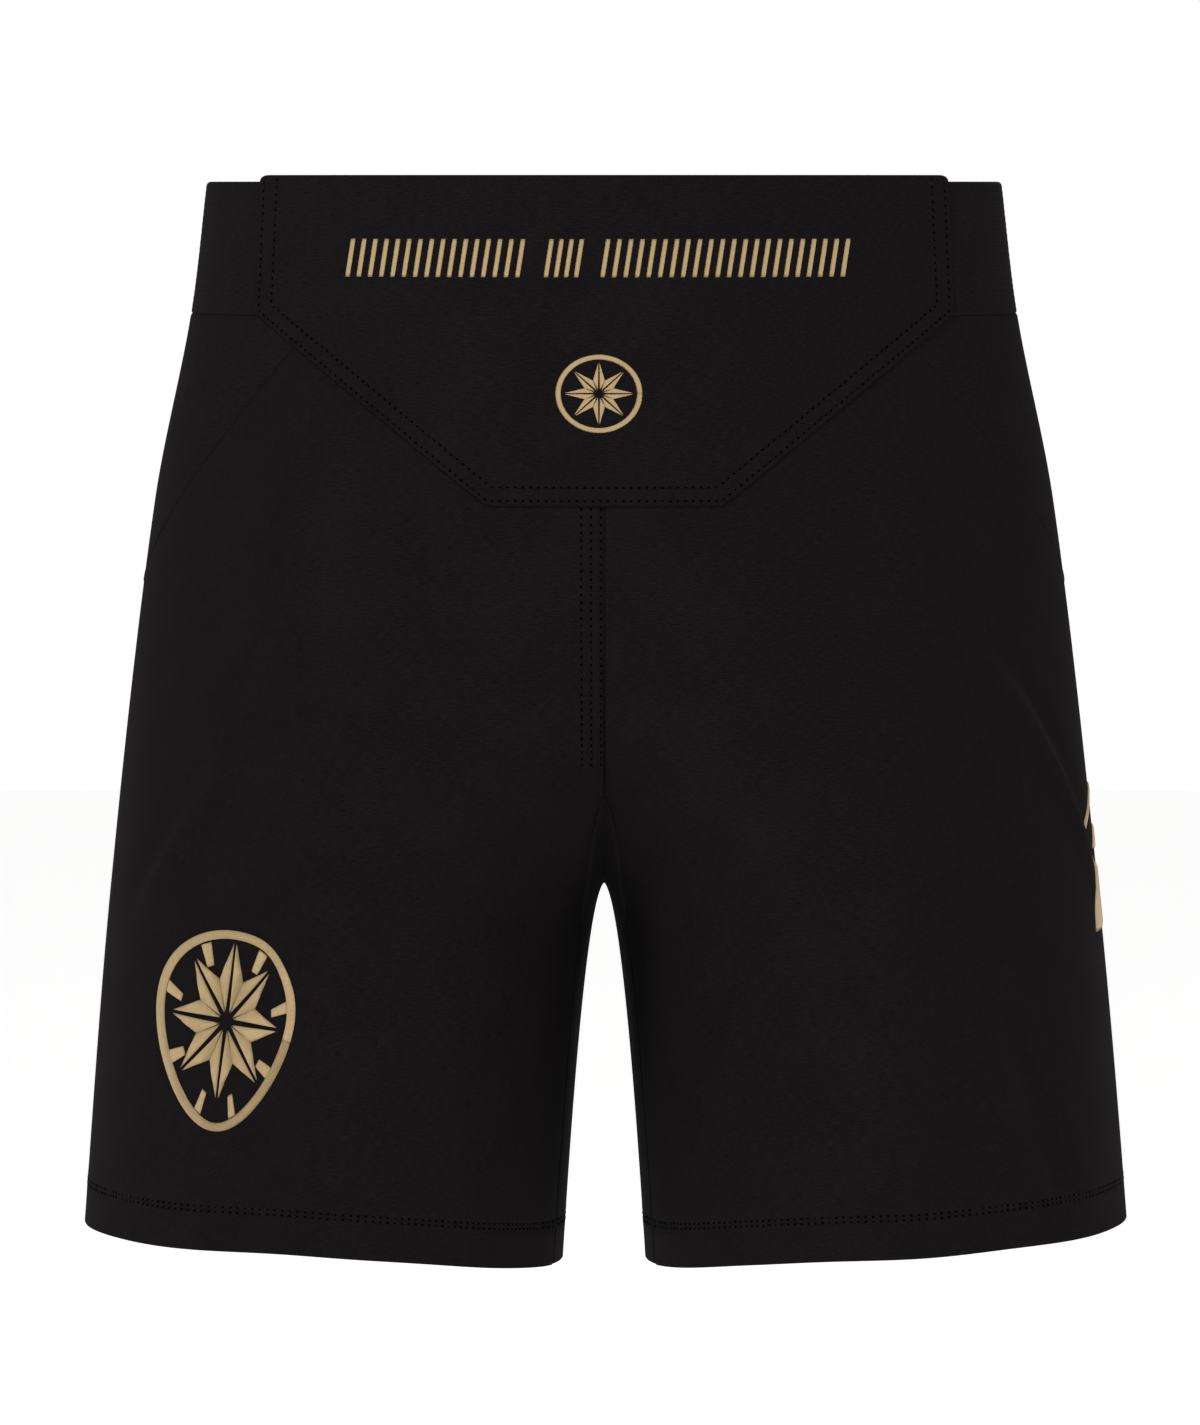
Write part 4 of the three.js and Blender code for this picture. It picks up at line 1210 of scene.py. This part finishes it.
emblem = [ribbon(arc(0, 360, EMBLEM_RADIUS - 1 * MM, 120), RING_WIDTH)]
emblem += [corner_patch(f * EMBLEM_RADIUS) for f in star_facets(0.80, 0.36, 0.022)]
yoke_emblem = cloth_piece("yoke_emblem_film", marks(emblem, on_yoke_emblem, YOKE_SURFACE), print_gold)
wear(yoke_emblem, "yoke_emblem")
print("facets of the yoke's star:", len(emblem) - 1)

# %% Leg medal
LEG_EMBLEM_X, LEG_EMBLEM_DROP, LEG_LEAN = -143 * MM, 320 * MM, math.radians(7)
EGG_HALF_WIDTH, EGG_HALF_HEIGHT = 25.2 * MM, 39.2 * MM
EGG_WAIST, EGG_BULGE = 0.98, 0.28        # its width half way up, and how much wider above
BORDER_WIDTH, STAR_RISE = 3.1 * MM, 4 * MM
RAY_START, RAY_END = 0.66, 0.885         # shares of the egg
PANEL_SURFACE = PANEL_MIDDLE + SHEET / 2 + 0.02 * MM


def egg(a, grow=1.0):
    """An egg outline, wider above its middle, as flat points."""
    u = np.cos(a) * EGG_HALF_WIDTH * (EGG_WAIST + EGG_BULGE * np.sin(a))
    return np.stack([u, np.sin(a) * EGG_HALF_HEIGHT], -1) * grow


def on_leg(u, v, off):
    x = LEG_EMBLEM_X + u * math.cos(LEG_LEAN) + v * math.sin(LEG_LEAN)
    return on_back(x, -LEG_EMBLEM_DROP + v * math.cos(LEG_LEAN) - u * math.sin(LEG_LEAN), off)


border = [ribbon(egg(np.linspace(0, 2 * math.pi, 160), 0.945), BORDER_WIDTH, 9)]
facets = [f * [EGG_HALF_WIDTH, EGG_HALF_HEIGHT] + [0, STAR_RISE] for f in star_facets(0.76, 0.43, 0.03)]
rays = []
for k in range(STAR_POINTS):
    a = (k + 0.5) * 2 * math.pi / STAR_POINTS + math.pi / 2
    near = egg(np.array([a - 0.06, a + 0.06]), RAY_START)
    far = egg(np.array([a + 0.07, a - 0.07]), RAY_END)
    rays.append(corner_patch([*near, *far], 7, 13))
medal = marks(border, on_leg, PANEL_SURFACE, 0.5 * MM, RAISED)
medal += marks([corner_patch(f, 13, 13) for f in facets], on_leg, PANEL_SURFACE, 0.75 * MM, RAISED)
medal += marks(rays, on_leg, PANEL_SURFACE, 0.4 * MM, RAISED)
leg_emblem = cloth_piece("leg_emblem_stitching", medal, thread_gold)
wear(leg_emblem, "leg_emblem")
print("the medal:", len(facets), "facets and", len(rays), "rays")

# %% Side mark
SIDE_MIDDLE, SIDE_DROP = 90, 263.5 * MM


def on_side(u, v, off):
    """Flat points round the right side seam: u runs forward and v up."""
    return place(1, SIDE_MIDDLE + np.degrees(u / SIDE_RADIUS), -SIDE_DROP + v, off)


crescent = ribbon(arc(25, 205, 28 * MM, 60), 3.0 * MM, 9)
bold = corner_patch(np.array([(-30, -26), (22, -27), (29, -6), (-27, 1)]) * MM, 31, 17)
tick = corner_patch(np.array([(-14, 5), (14, 2), (9, 12), (-9, 14)]) * MM, 19, 11)
side_parts = marks([crescent], on_side, PANEL_SURFACE, 0.4 * MM, RAISED)
side_parts += marks([bold, tick], on_side, PANEL_SURFACE, 0.5 * MM, RAISED)
side_emblem = cloth_piece("side_emblem_stitching", side_parts, thread_gold)
wear(side_emblem, "side_emblem")
print("patches in the side mark:", len(side_parts))

# %% [markdown]
# ## Stitches
#
# Every row of thread repeats one short stitch along a path, which is what Geometry Nodes are
# for. The tree turns the gathered lines into curves and marks them every half pitch: a
# tapered stitch lies on every other mark, turned along the curve, and between two stitches
# lies a small near-black spot, painted shade for the dimple where the needle went through.
# The result is made a plain mesh for each body.

# %% Stitch tree
def node_tree(name, inputs):
    """An empty modifier tree with a geometry input and output and the named inputs."""
    tree = bpy.data.node_groups.new(name, "GeometryNodeTree")
    tree.is_modifier = True
    tree.interface.new_socket("Geometry", in_out="INPUT", socket_type="NodeSocketGeometry")
    tree.interface.new_socket("Geometry", in_out="OUTPUT", socket_type="NodeSocketGeometry")
    for label, kind in inputs.items():
        tree.interface.new_socket(label, in_out="INPUT", socket_type=f"NodeSocket{kind}")
    return tree, tree.nodes.new("NodeGroupInput"), tree.nodes.new("NodeGroupOutput")


def link(tree, kind, settings=(), *ordered, **named):
    """A node of the tree, with its settings and the links or values of its inputs."""
    made = tree.nodes.new(kind)
    for key, value in dict(settings).items():
        setattr(made, key, value)
    pairs = list(zip(made.inputs, ordered))
    pairs += [(made.inputs[key.replace("_", " ")], value) for key, value in named.items()]
    for socket, value in pairs:
        if isinstance(value, bpy.types.NodeSocket):
            tree.links.new(value, socket)
        elif value is not None:
            socket.default_value = value
    return made


def finished(tree, instances, finish):
    """Real mesh in place of instances, which the export drops, with its finish."""
    real = link(tree, "GeometryNodeRealizeInstances", Geometry=instances.outputs[0])
    return link(tree, "GeometryNodeSetMaterial", Geometry=real.outputs[0], Material=finish).outputs[0]


def stitch_tree():
    sizes = dict.fromkeys(("Pitch", "Length", "Thickness", "Hole"), "Float")
    tree, given, out = node_tree("lay_stitches", {**sizes, "Finish": "Material", "Hole Painted Shade": "Material"})
    given = given.outputs
    curves = link(tree, "GeometryNodeMeshToCurve", Mesh=given["Geometry"])
    half = link(tree, "ShaderNodeMath", {"operation": "MULTIPLY"}, given["Pitch"], 0.5)
    steps = link(tree, "GeometryNodeResampleCurve", {"mode": "LENGTH"}, Curve=curves.outputs[0],
                 Length=half.outputs[0])
    index = link(tree, "GeometryNodeInputIndex")
    odd = link(tree, "ShaderNodeMath", {"operation": "MODULO"}, index.outputs[0], 2)
    even = link(tree, "FunctionNodeCompare", {"data_type": "FLOAT", "operation": "LESS_THAN"},
                odd.outputs[0], 0.5)
    between = link(tree, "FunctionNodeBooleanMath", {"operation": "NOT"}, Boolean=even.outputs[0])
    ball = link(tree, "GeometryNodeMeshUVSphere", Segments=6, Rings=5, Radius=0.5)
    tangent = link(tree, "GeometryNodeInputTangent")
    turned = link(tree, "FunctionNodeAlignRotationToVector", {"axis": "X"}, Vector=tangent.outputs[0])
    varied = link(tree, "FunctionNodeRandomValue", {"data_type": "FLOAT"}, None, None, 0.86, 1.08, Seed=11)
    joined = link(tree, "GeometryNodeJoinGeometry")
    # between the stitches go near-black spots, painted shade for the needle dimples
    for long, wide, chosen, finish in (("Length", "Thickness", even, "Finish"),
                                       ("Hole", "Hole", between, "Hole Painted Shade")):
        size = link(tree, "ShaderNodeCombineXYZ", X=given[long], Y=given[wide], Z=given[wide])
        shape = link(tree, "GeometryNodeTransform", Geometry=ball.outputs[0], Scale=size.outputs[0])
        placed = link(tree, "GeometryNodeInstanceOnPoints", Points=steps.outputs[0],
                      Selection=chosen.outputs[0], Instance=shape.outputs[0], Rotation=turned.outputs[0],
                      Scale=varied.outputs[1])
        tree.links.new(finished(tree, placed, given[finish]), joined.inputs[0])
    tree.links.new(joined.outputs[0], out.inputs[0])
    return tree

# %% Running a tree
def run_tree(name, mesh, tree, **values):
    """Runs a tree on a mesh and returns its result as a plain mesh object."""
    source = bpy.data.objects.new(name + "_source", mesh)
    bpy.context.scene.collection.objects.link(source)
    modifier = source.modifiers.new("nodes", "NODES")
    modifier.node_group = tree
    for item in tree.interface.items_tree:
        if item.in_out == "INPUT" and item.name in values:
            modifier[item.identifier] = values[item.name]
    evaluated = source.evaluated_get(bpy.context.evaluated_depsgraph_get())
    result = bpy.data.meshes.new_from_object(evaluated)
    bpy.data.objects.remove(source)
    result.name = name
    result.polygons.foreach_set("use_smooth", np.ones(len(result.polygons), bool))
    piece = bpy.data.objects.new(name, result)
    bpy.context.scene.collection.objects.link(piece)
    return piece


# %% Stitches on each body
STITCH_PITCH, STITCH_LENGTH, THREAD_THICKNESS = 2.9 * MM, 2.2 * MM, 0.36 * MM
HOLE_SIZE = 0.85 * MM
stitches = stitch_tree()
# the holes' finish paints the needle dimples' shadow as near-black spots
finishes = {"Finish": thread_black, "Hole Painted Shade": hole_painted_shade}
for body, lines in THREADS.items():
    mesh = bpy.data.meshes.new(f"thread_lines_{body}")
    points, edges, count = [], [], 0
    for line in lines:
        points += line.tolist()
        edges += [(count + k, count + k + 1) for k in range(len(line) - 1)]
        count += len(line)
    mesh.from_pydata(points, edges, [])
    made = run_tree(f"stitches_{body}", mesh, stitches, Pitch=STITCH_PITCH, Length=STITCH_LENGTH,
                    Thickness=THREAD_THICKNESS, Hole=HOLE_SIZE, **finishes)
    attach(made, body)
    print(made.name, "faces:", len(made.data.polygons))

# %% [markdown]
# ## Hooks and loops
#
# Hook tape carries small stiff hooks and loop tape carries soft arches of thread. Both are a
# bent wire that stands on the tape, so one tree makes both, with other ends and heights.
# A fixed seed turns the loops every way, while the hooks stay in rows.

# %% Hooks and loops
NAP_PITCH, NAP_INSET = 1.7, 2.6  # mm, as the tapes' sizes are
LOOP_WIRE = {"Middle": (0.35 * MM, 0, 0.85 * MM), "End": (0.7 * MM, 0, 0), "Turn": 6.28, "Wire": 0.06 * MM}
HOOK_WIRE = {"Middle": (0, 0, 0.85 * MM), "End": (0.4 * MM, 0, 0.28 * MM), "Turn": 0.0, "Wire": 0.08 * MM}


def nap_tree():
    tree, given, out = node_tree("stand_on_tape", {"Middle": "Vector", "End": "Vector", "Wire": "Float",
                                                   "Turn": "Float", "Finish": "Material"})
    given = given.outputs
    bend = link(tree, "GeometryNodeCurveQuadraticBezier", Resolution=4, Start=(0, 0, 0),
                Middle=given["Middle"], End=given["End"])
    section = link(tree, "GeometryNodeCurvePrimitiveCircle", Resolution=4, Radius=given["Wire"])
    wire = link(tree, "GeometryNodeCurveToMesh", Curve=bend.outputs[0], Profile_Curve=section.outputs[0],
                Fill_Caps=True)
    normal = link(tree, "GeometryNodeInputNormal")
    stand = link(tree, "FunctionNodeAlignRotationToVector", {"axis": "Z"}, Vector=normal.outputs[0])
    placed = link(tree, "GeometryNodeInstanceOnPoints", Points=given["Geometry"],
                  Instance=wire.outputs[0], Rotation=stand.outputs[0])
    chance = link(tree, "FunctionNodeRandomValue", {"data_type": "FLOAT"}, None, None, None,
                  given["Turn"], Seed=23)
    spin = link(tree, "ShaderNodeCombineXYZ", Z=chance.outputs[1])
    turned = link(tree, "GeometryNodeRotateInstances", Instances=placed.outputs[0],
                  Rotation=spin.outputs[0])
    tree.links.new(finished(tree, turned, given["Finish"]), out.inputs[0])
    return tree


def nap_seats(name, middle, outside):
    """A coarse mesh over both tapes of a kind, with a point for each hook or loop."""
    points, faces, count = [], [], 0
    for xs, drops in TAPES.values():
        (left, right), (high, low) = xs, drops
        p, way = tape_grid((left + NAP_INSET, right - NAP_INSET), (high + NAP_INSET, low - NAP_INSET),
                           middle, NAP_PITCH)
        quads = grid_faces(np.arange(p[..., 0].size).reshape(p.shape[:2]) + count)
        facing_way = (grid_normals(p) * way).sum() * outside > 0
        faces += (quads if facing_way else quads[:, ::-1]).tolist()
        points += p.reshape(-1, 3).tolist()
        count = len(points)
    mesh = bpy.data.meshes.new(name)
    mesh.from_pydata(points, [], faces)
    mesh.update()
    return mesh

# %% Hooks and loops on the tapes
nap = nap_tree()
for kind, middle, outside, body, finish, wire in (
        ("loop", LOOP_MIDDLE + TAPE_SHEET / 2, 1, "shorts", loop_tape, LOOP_WIRE),
        ("hook", HOOK_MIDDLE - TAPE_SHEET / 2, -1, "flap", hook_black, HOOK_WIRE)):
    mesh = nap_seats(f"{kind}_seats", middle, outside)
    made = run_tree(f"tape_{kind}s", mesh, nap, Finish=finish, **wire)
    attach(made, body)
    print(made.name, "faces:", len(made.data.polygons))

# %% [markdown]
# ## Parts kept from the model
#
# The interlining and the two elastics are right as they are and lie inside the waistband.
# They have no map of their own, so their finishes read the object's coordinates.

# %% Inner parts
def inner_web(name, dark, light, rib, roughness):
    paint = Paint(name, Roughness=roughness, Specular_IOR_Level=0.15)
    where = paint.node("ShaderNodeMapping", {}, Vector=paint.object_map(), Scale=[1 / MM] * 3)
    ribs = paint.wave(where, "Z", WAVE / rib, 0.3)
    fibres = paint.noise(where, 0.8, 3.0)
    paint.feed("Base Color", paint.shade(ribs * 0.5 + fibres * 0.5, dark, light))
    paint.feed("Roughness", fibres * 0.2 + (roughness - 0.1))
    paint.feed("Normal", paint.bump(ribs + fibres * 0.5, 0.15 * MM, 0.7))
    return paint.material


elastic_finish = inner_web("elastic_finish", (0.010, 0.009, 0.009), (0.022, 0.021, 0.021), 1.9, 0.8)
felt_finish = inner_web("felt_finish", (0.006, 0.006, 0.006), (0.011, 0.011, 0.011), 0.7, 0.9)
inner_parts = {"waist_elastic_left": elastic_finish, "waist_elastic_right": elastic_finish,
               "back_waistband_interlining": felt_finish}
for node, finish in inner_parts.items():
    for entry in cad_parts[node].material_slots:
        entry.material = finish
print("kept parts finished:", len(inner_parts))

# %% [markdown]
# ## Light, floor and camera
#
# A product studio: a pale floor far below, a bright even surround, one small strong light
# high on the seat side, and larger soft ones that graze the cloth from both sides, so that
# black folds show against black.

# %% Studio
def studio_world():
    world = bpy.data.worlds.new("studio")
    bpy.context.scene.world = world
    world.use_nodes = True
    tree = world.node_tree
    seen, lit = tree.nodes["Background"], tree.nodes.new("ShaderNodeBackground")
    seen.inputs["Color"].default_value = (1, 1, 1, 1)
    seen.inputs["Strength"].default_value = 1.0
    lit.inputs["Color"].default_value = (1, 0.99, 0.98, 1)
    lit.inputs["Strength"].default_value = 0.29
    rays, blend = tree.nodes.new("ShaderNodeLightPath"), tree.nodes.new("ShaderNodeMixShader")
    tree.links.new(rays.outputs["Is Camera Ray"], blend.inputs[0])
    tree.links.new(lit.outputs[0], blend.inputs[1])
    tree.links.new(seen.outputs[0], blend.inputs[2])
    tree.links.new(blend.outputs[0], tree.nodes["World Output"].inputs[0])


def soft_light(name, place_at, aim, size, power):
    data = bpy.data.lights.new(name, "AREA")
    data.shape, data.size, data.size_y, data.energy = "RECTANGLE", size[0], size[1], power
    lamp = bpy.data.objects.new(name, data)
    bpy.context.scene.collection.objects.link(lamp)
    lamp.location = place_at
    lamp.rotation_euler = (Vector(aim) - Vector(place_at)).to_track_quat("-Z", "Y").to_euler()


studio_world()
MIDDLE = (0, 0, -0.2)
soft_light("key", (-1.05, -1.9, 2.45), MIDDLE, (0.6, 0.6), 65)
soft_light("fill", (2.0, -1.9, 0.5), MIDDLE, (1.2, 1.8), 9)
soft_light("left_edge", (-2.2, 0.6, 0.2), MIDDLE, (0.8, 2.0), 8)
soft_light("right_edge", (2.2, 0.7, 0.2), MIDDLE, (0.8, 2.0), 8)
soft_light("front_side", (0.3, 2.8, 1.5), MIDDLE, (1.6, 1.6), 24)

floor_paint = Paint("pale_floor", Base_Color=(0.9, 0.9, 0.9, 1), Roughness=0.7, Emission_Strength=0.7)
floor_paint.surface.inputs["Emission Color"].default_value = (1, 1, 1, 1)
FLOOR_Z, FLOOR_REACH = -0.95, 9
corner_signs = ((-1, -1), (1, -1), (1, 1), (-1, 1))
floor_corners = [(x * FLOOR_REACH, y * FLOOR_REACH, FLOOR_Z) for x, y in corner_signs]
floor_mesh = bpy.data.meshes.new("floor")
floor_mesh.from_pydata(floor_corners, [], [(0, 1, 2, 3)])
floor_mesh.materials.append(floor_paint.material)
floor = bpy.data.objects.new("floor", floor_mesh)
bpy.context.scene.collection.objects.link(floor)
floor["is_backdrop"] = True
print("lights:", len(bpy.data.lights))

# %% Camera
CAMERA_DISTANCE, CAMERA_X = 3.0, -0.0016
AIM_Z = -0.2069
FRAME_HEIGHT = 0.55575           # what the picture's height covers at the waist's centre plane
SENSOR = 36
camera_data = bpy.data.cameras.new("camera")
camera_data.sensor_width = SENSOR
camera_data.lens = SENSOR * CAMERA_DISTANCE / FRAME_HEIGHT
camera = bpy.data.objects.new("camera", camera_data)
camera.location = (CAMERA_X, -CAMERA_DISTANCE, 0)
look = Vector((CAMERA_X, 0, AIM_Z)) - camera.location
camera.rotation_euler = look.to_track_quat("-Z", "Y").to_euler()
bpy.context.scene.collection.objects.link(camera)
bpy.context.scene.camera = camera
bpy.context.scene.view_settings.view_transform = "Standard"
print("camera lens, mm:", round(camera_data.lens, 1))

# %% [markdown]
# ## Size and finish
#
# The last cell prints this scene's box.

# %% Finish
low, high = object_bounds()
print("this scene's box, mm:", [round(v / MM) for v in high - low])
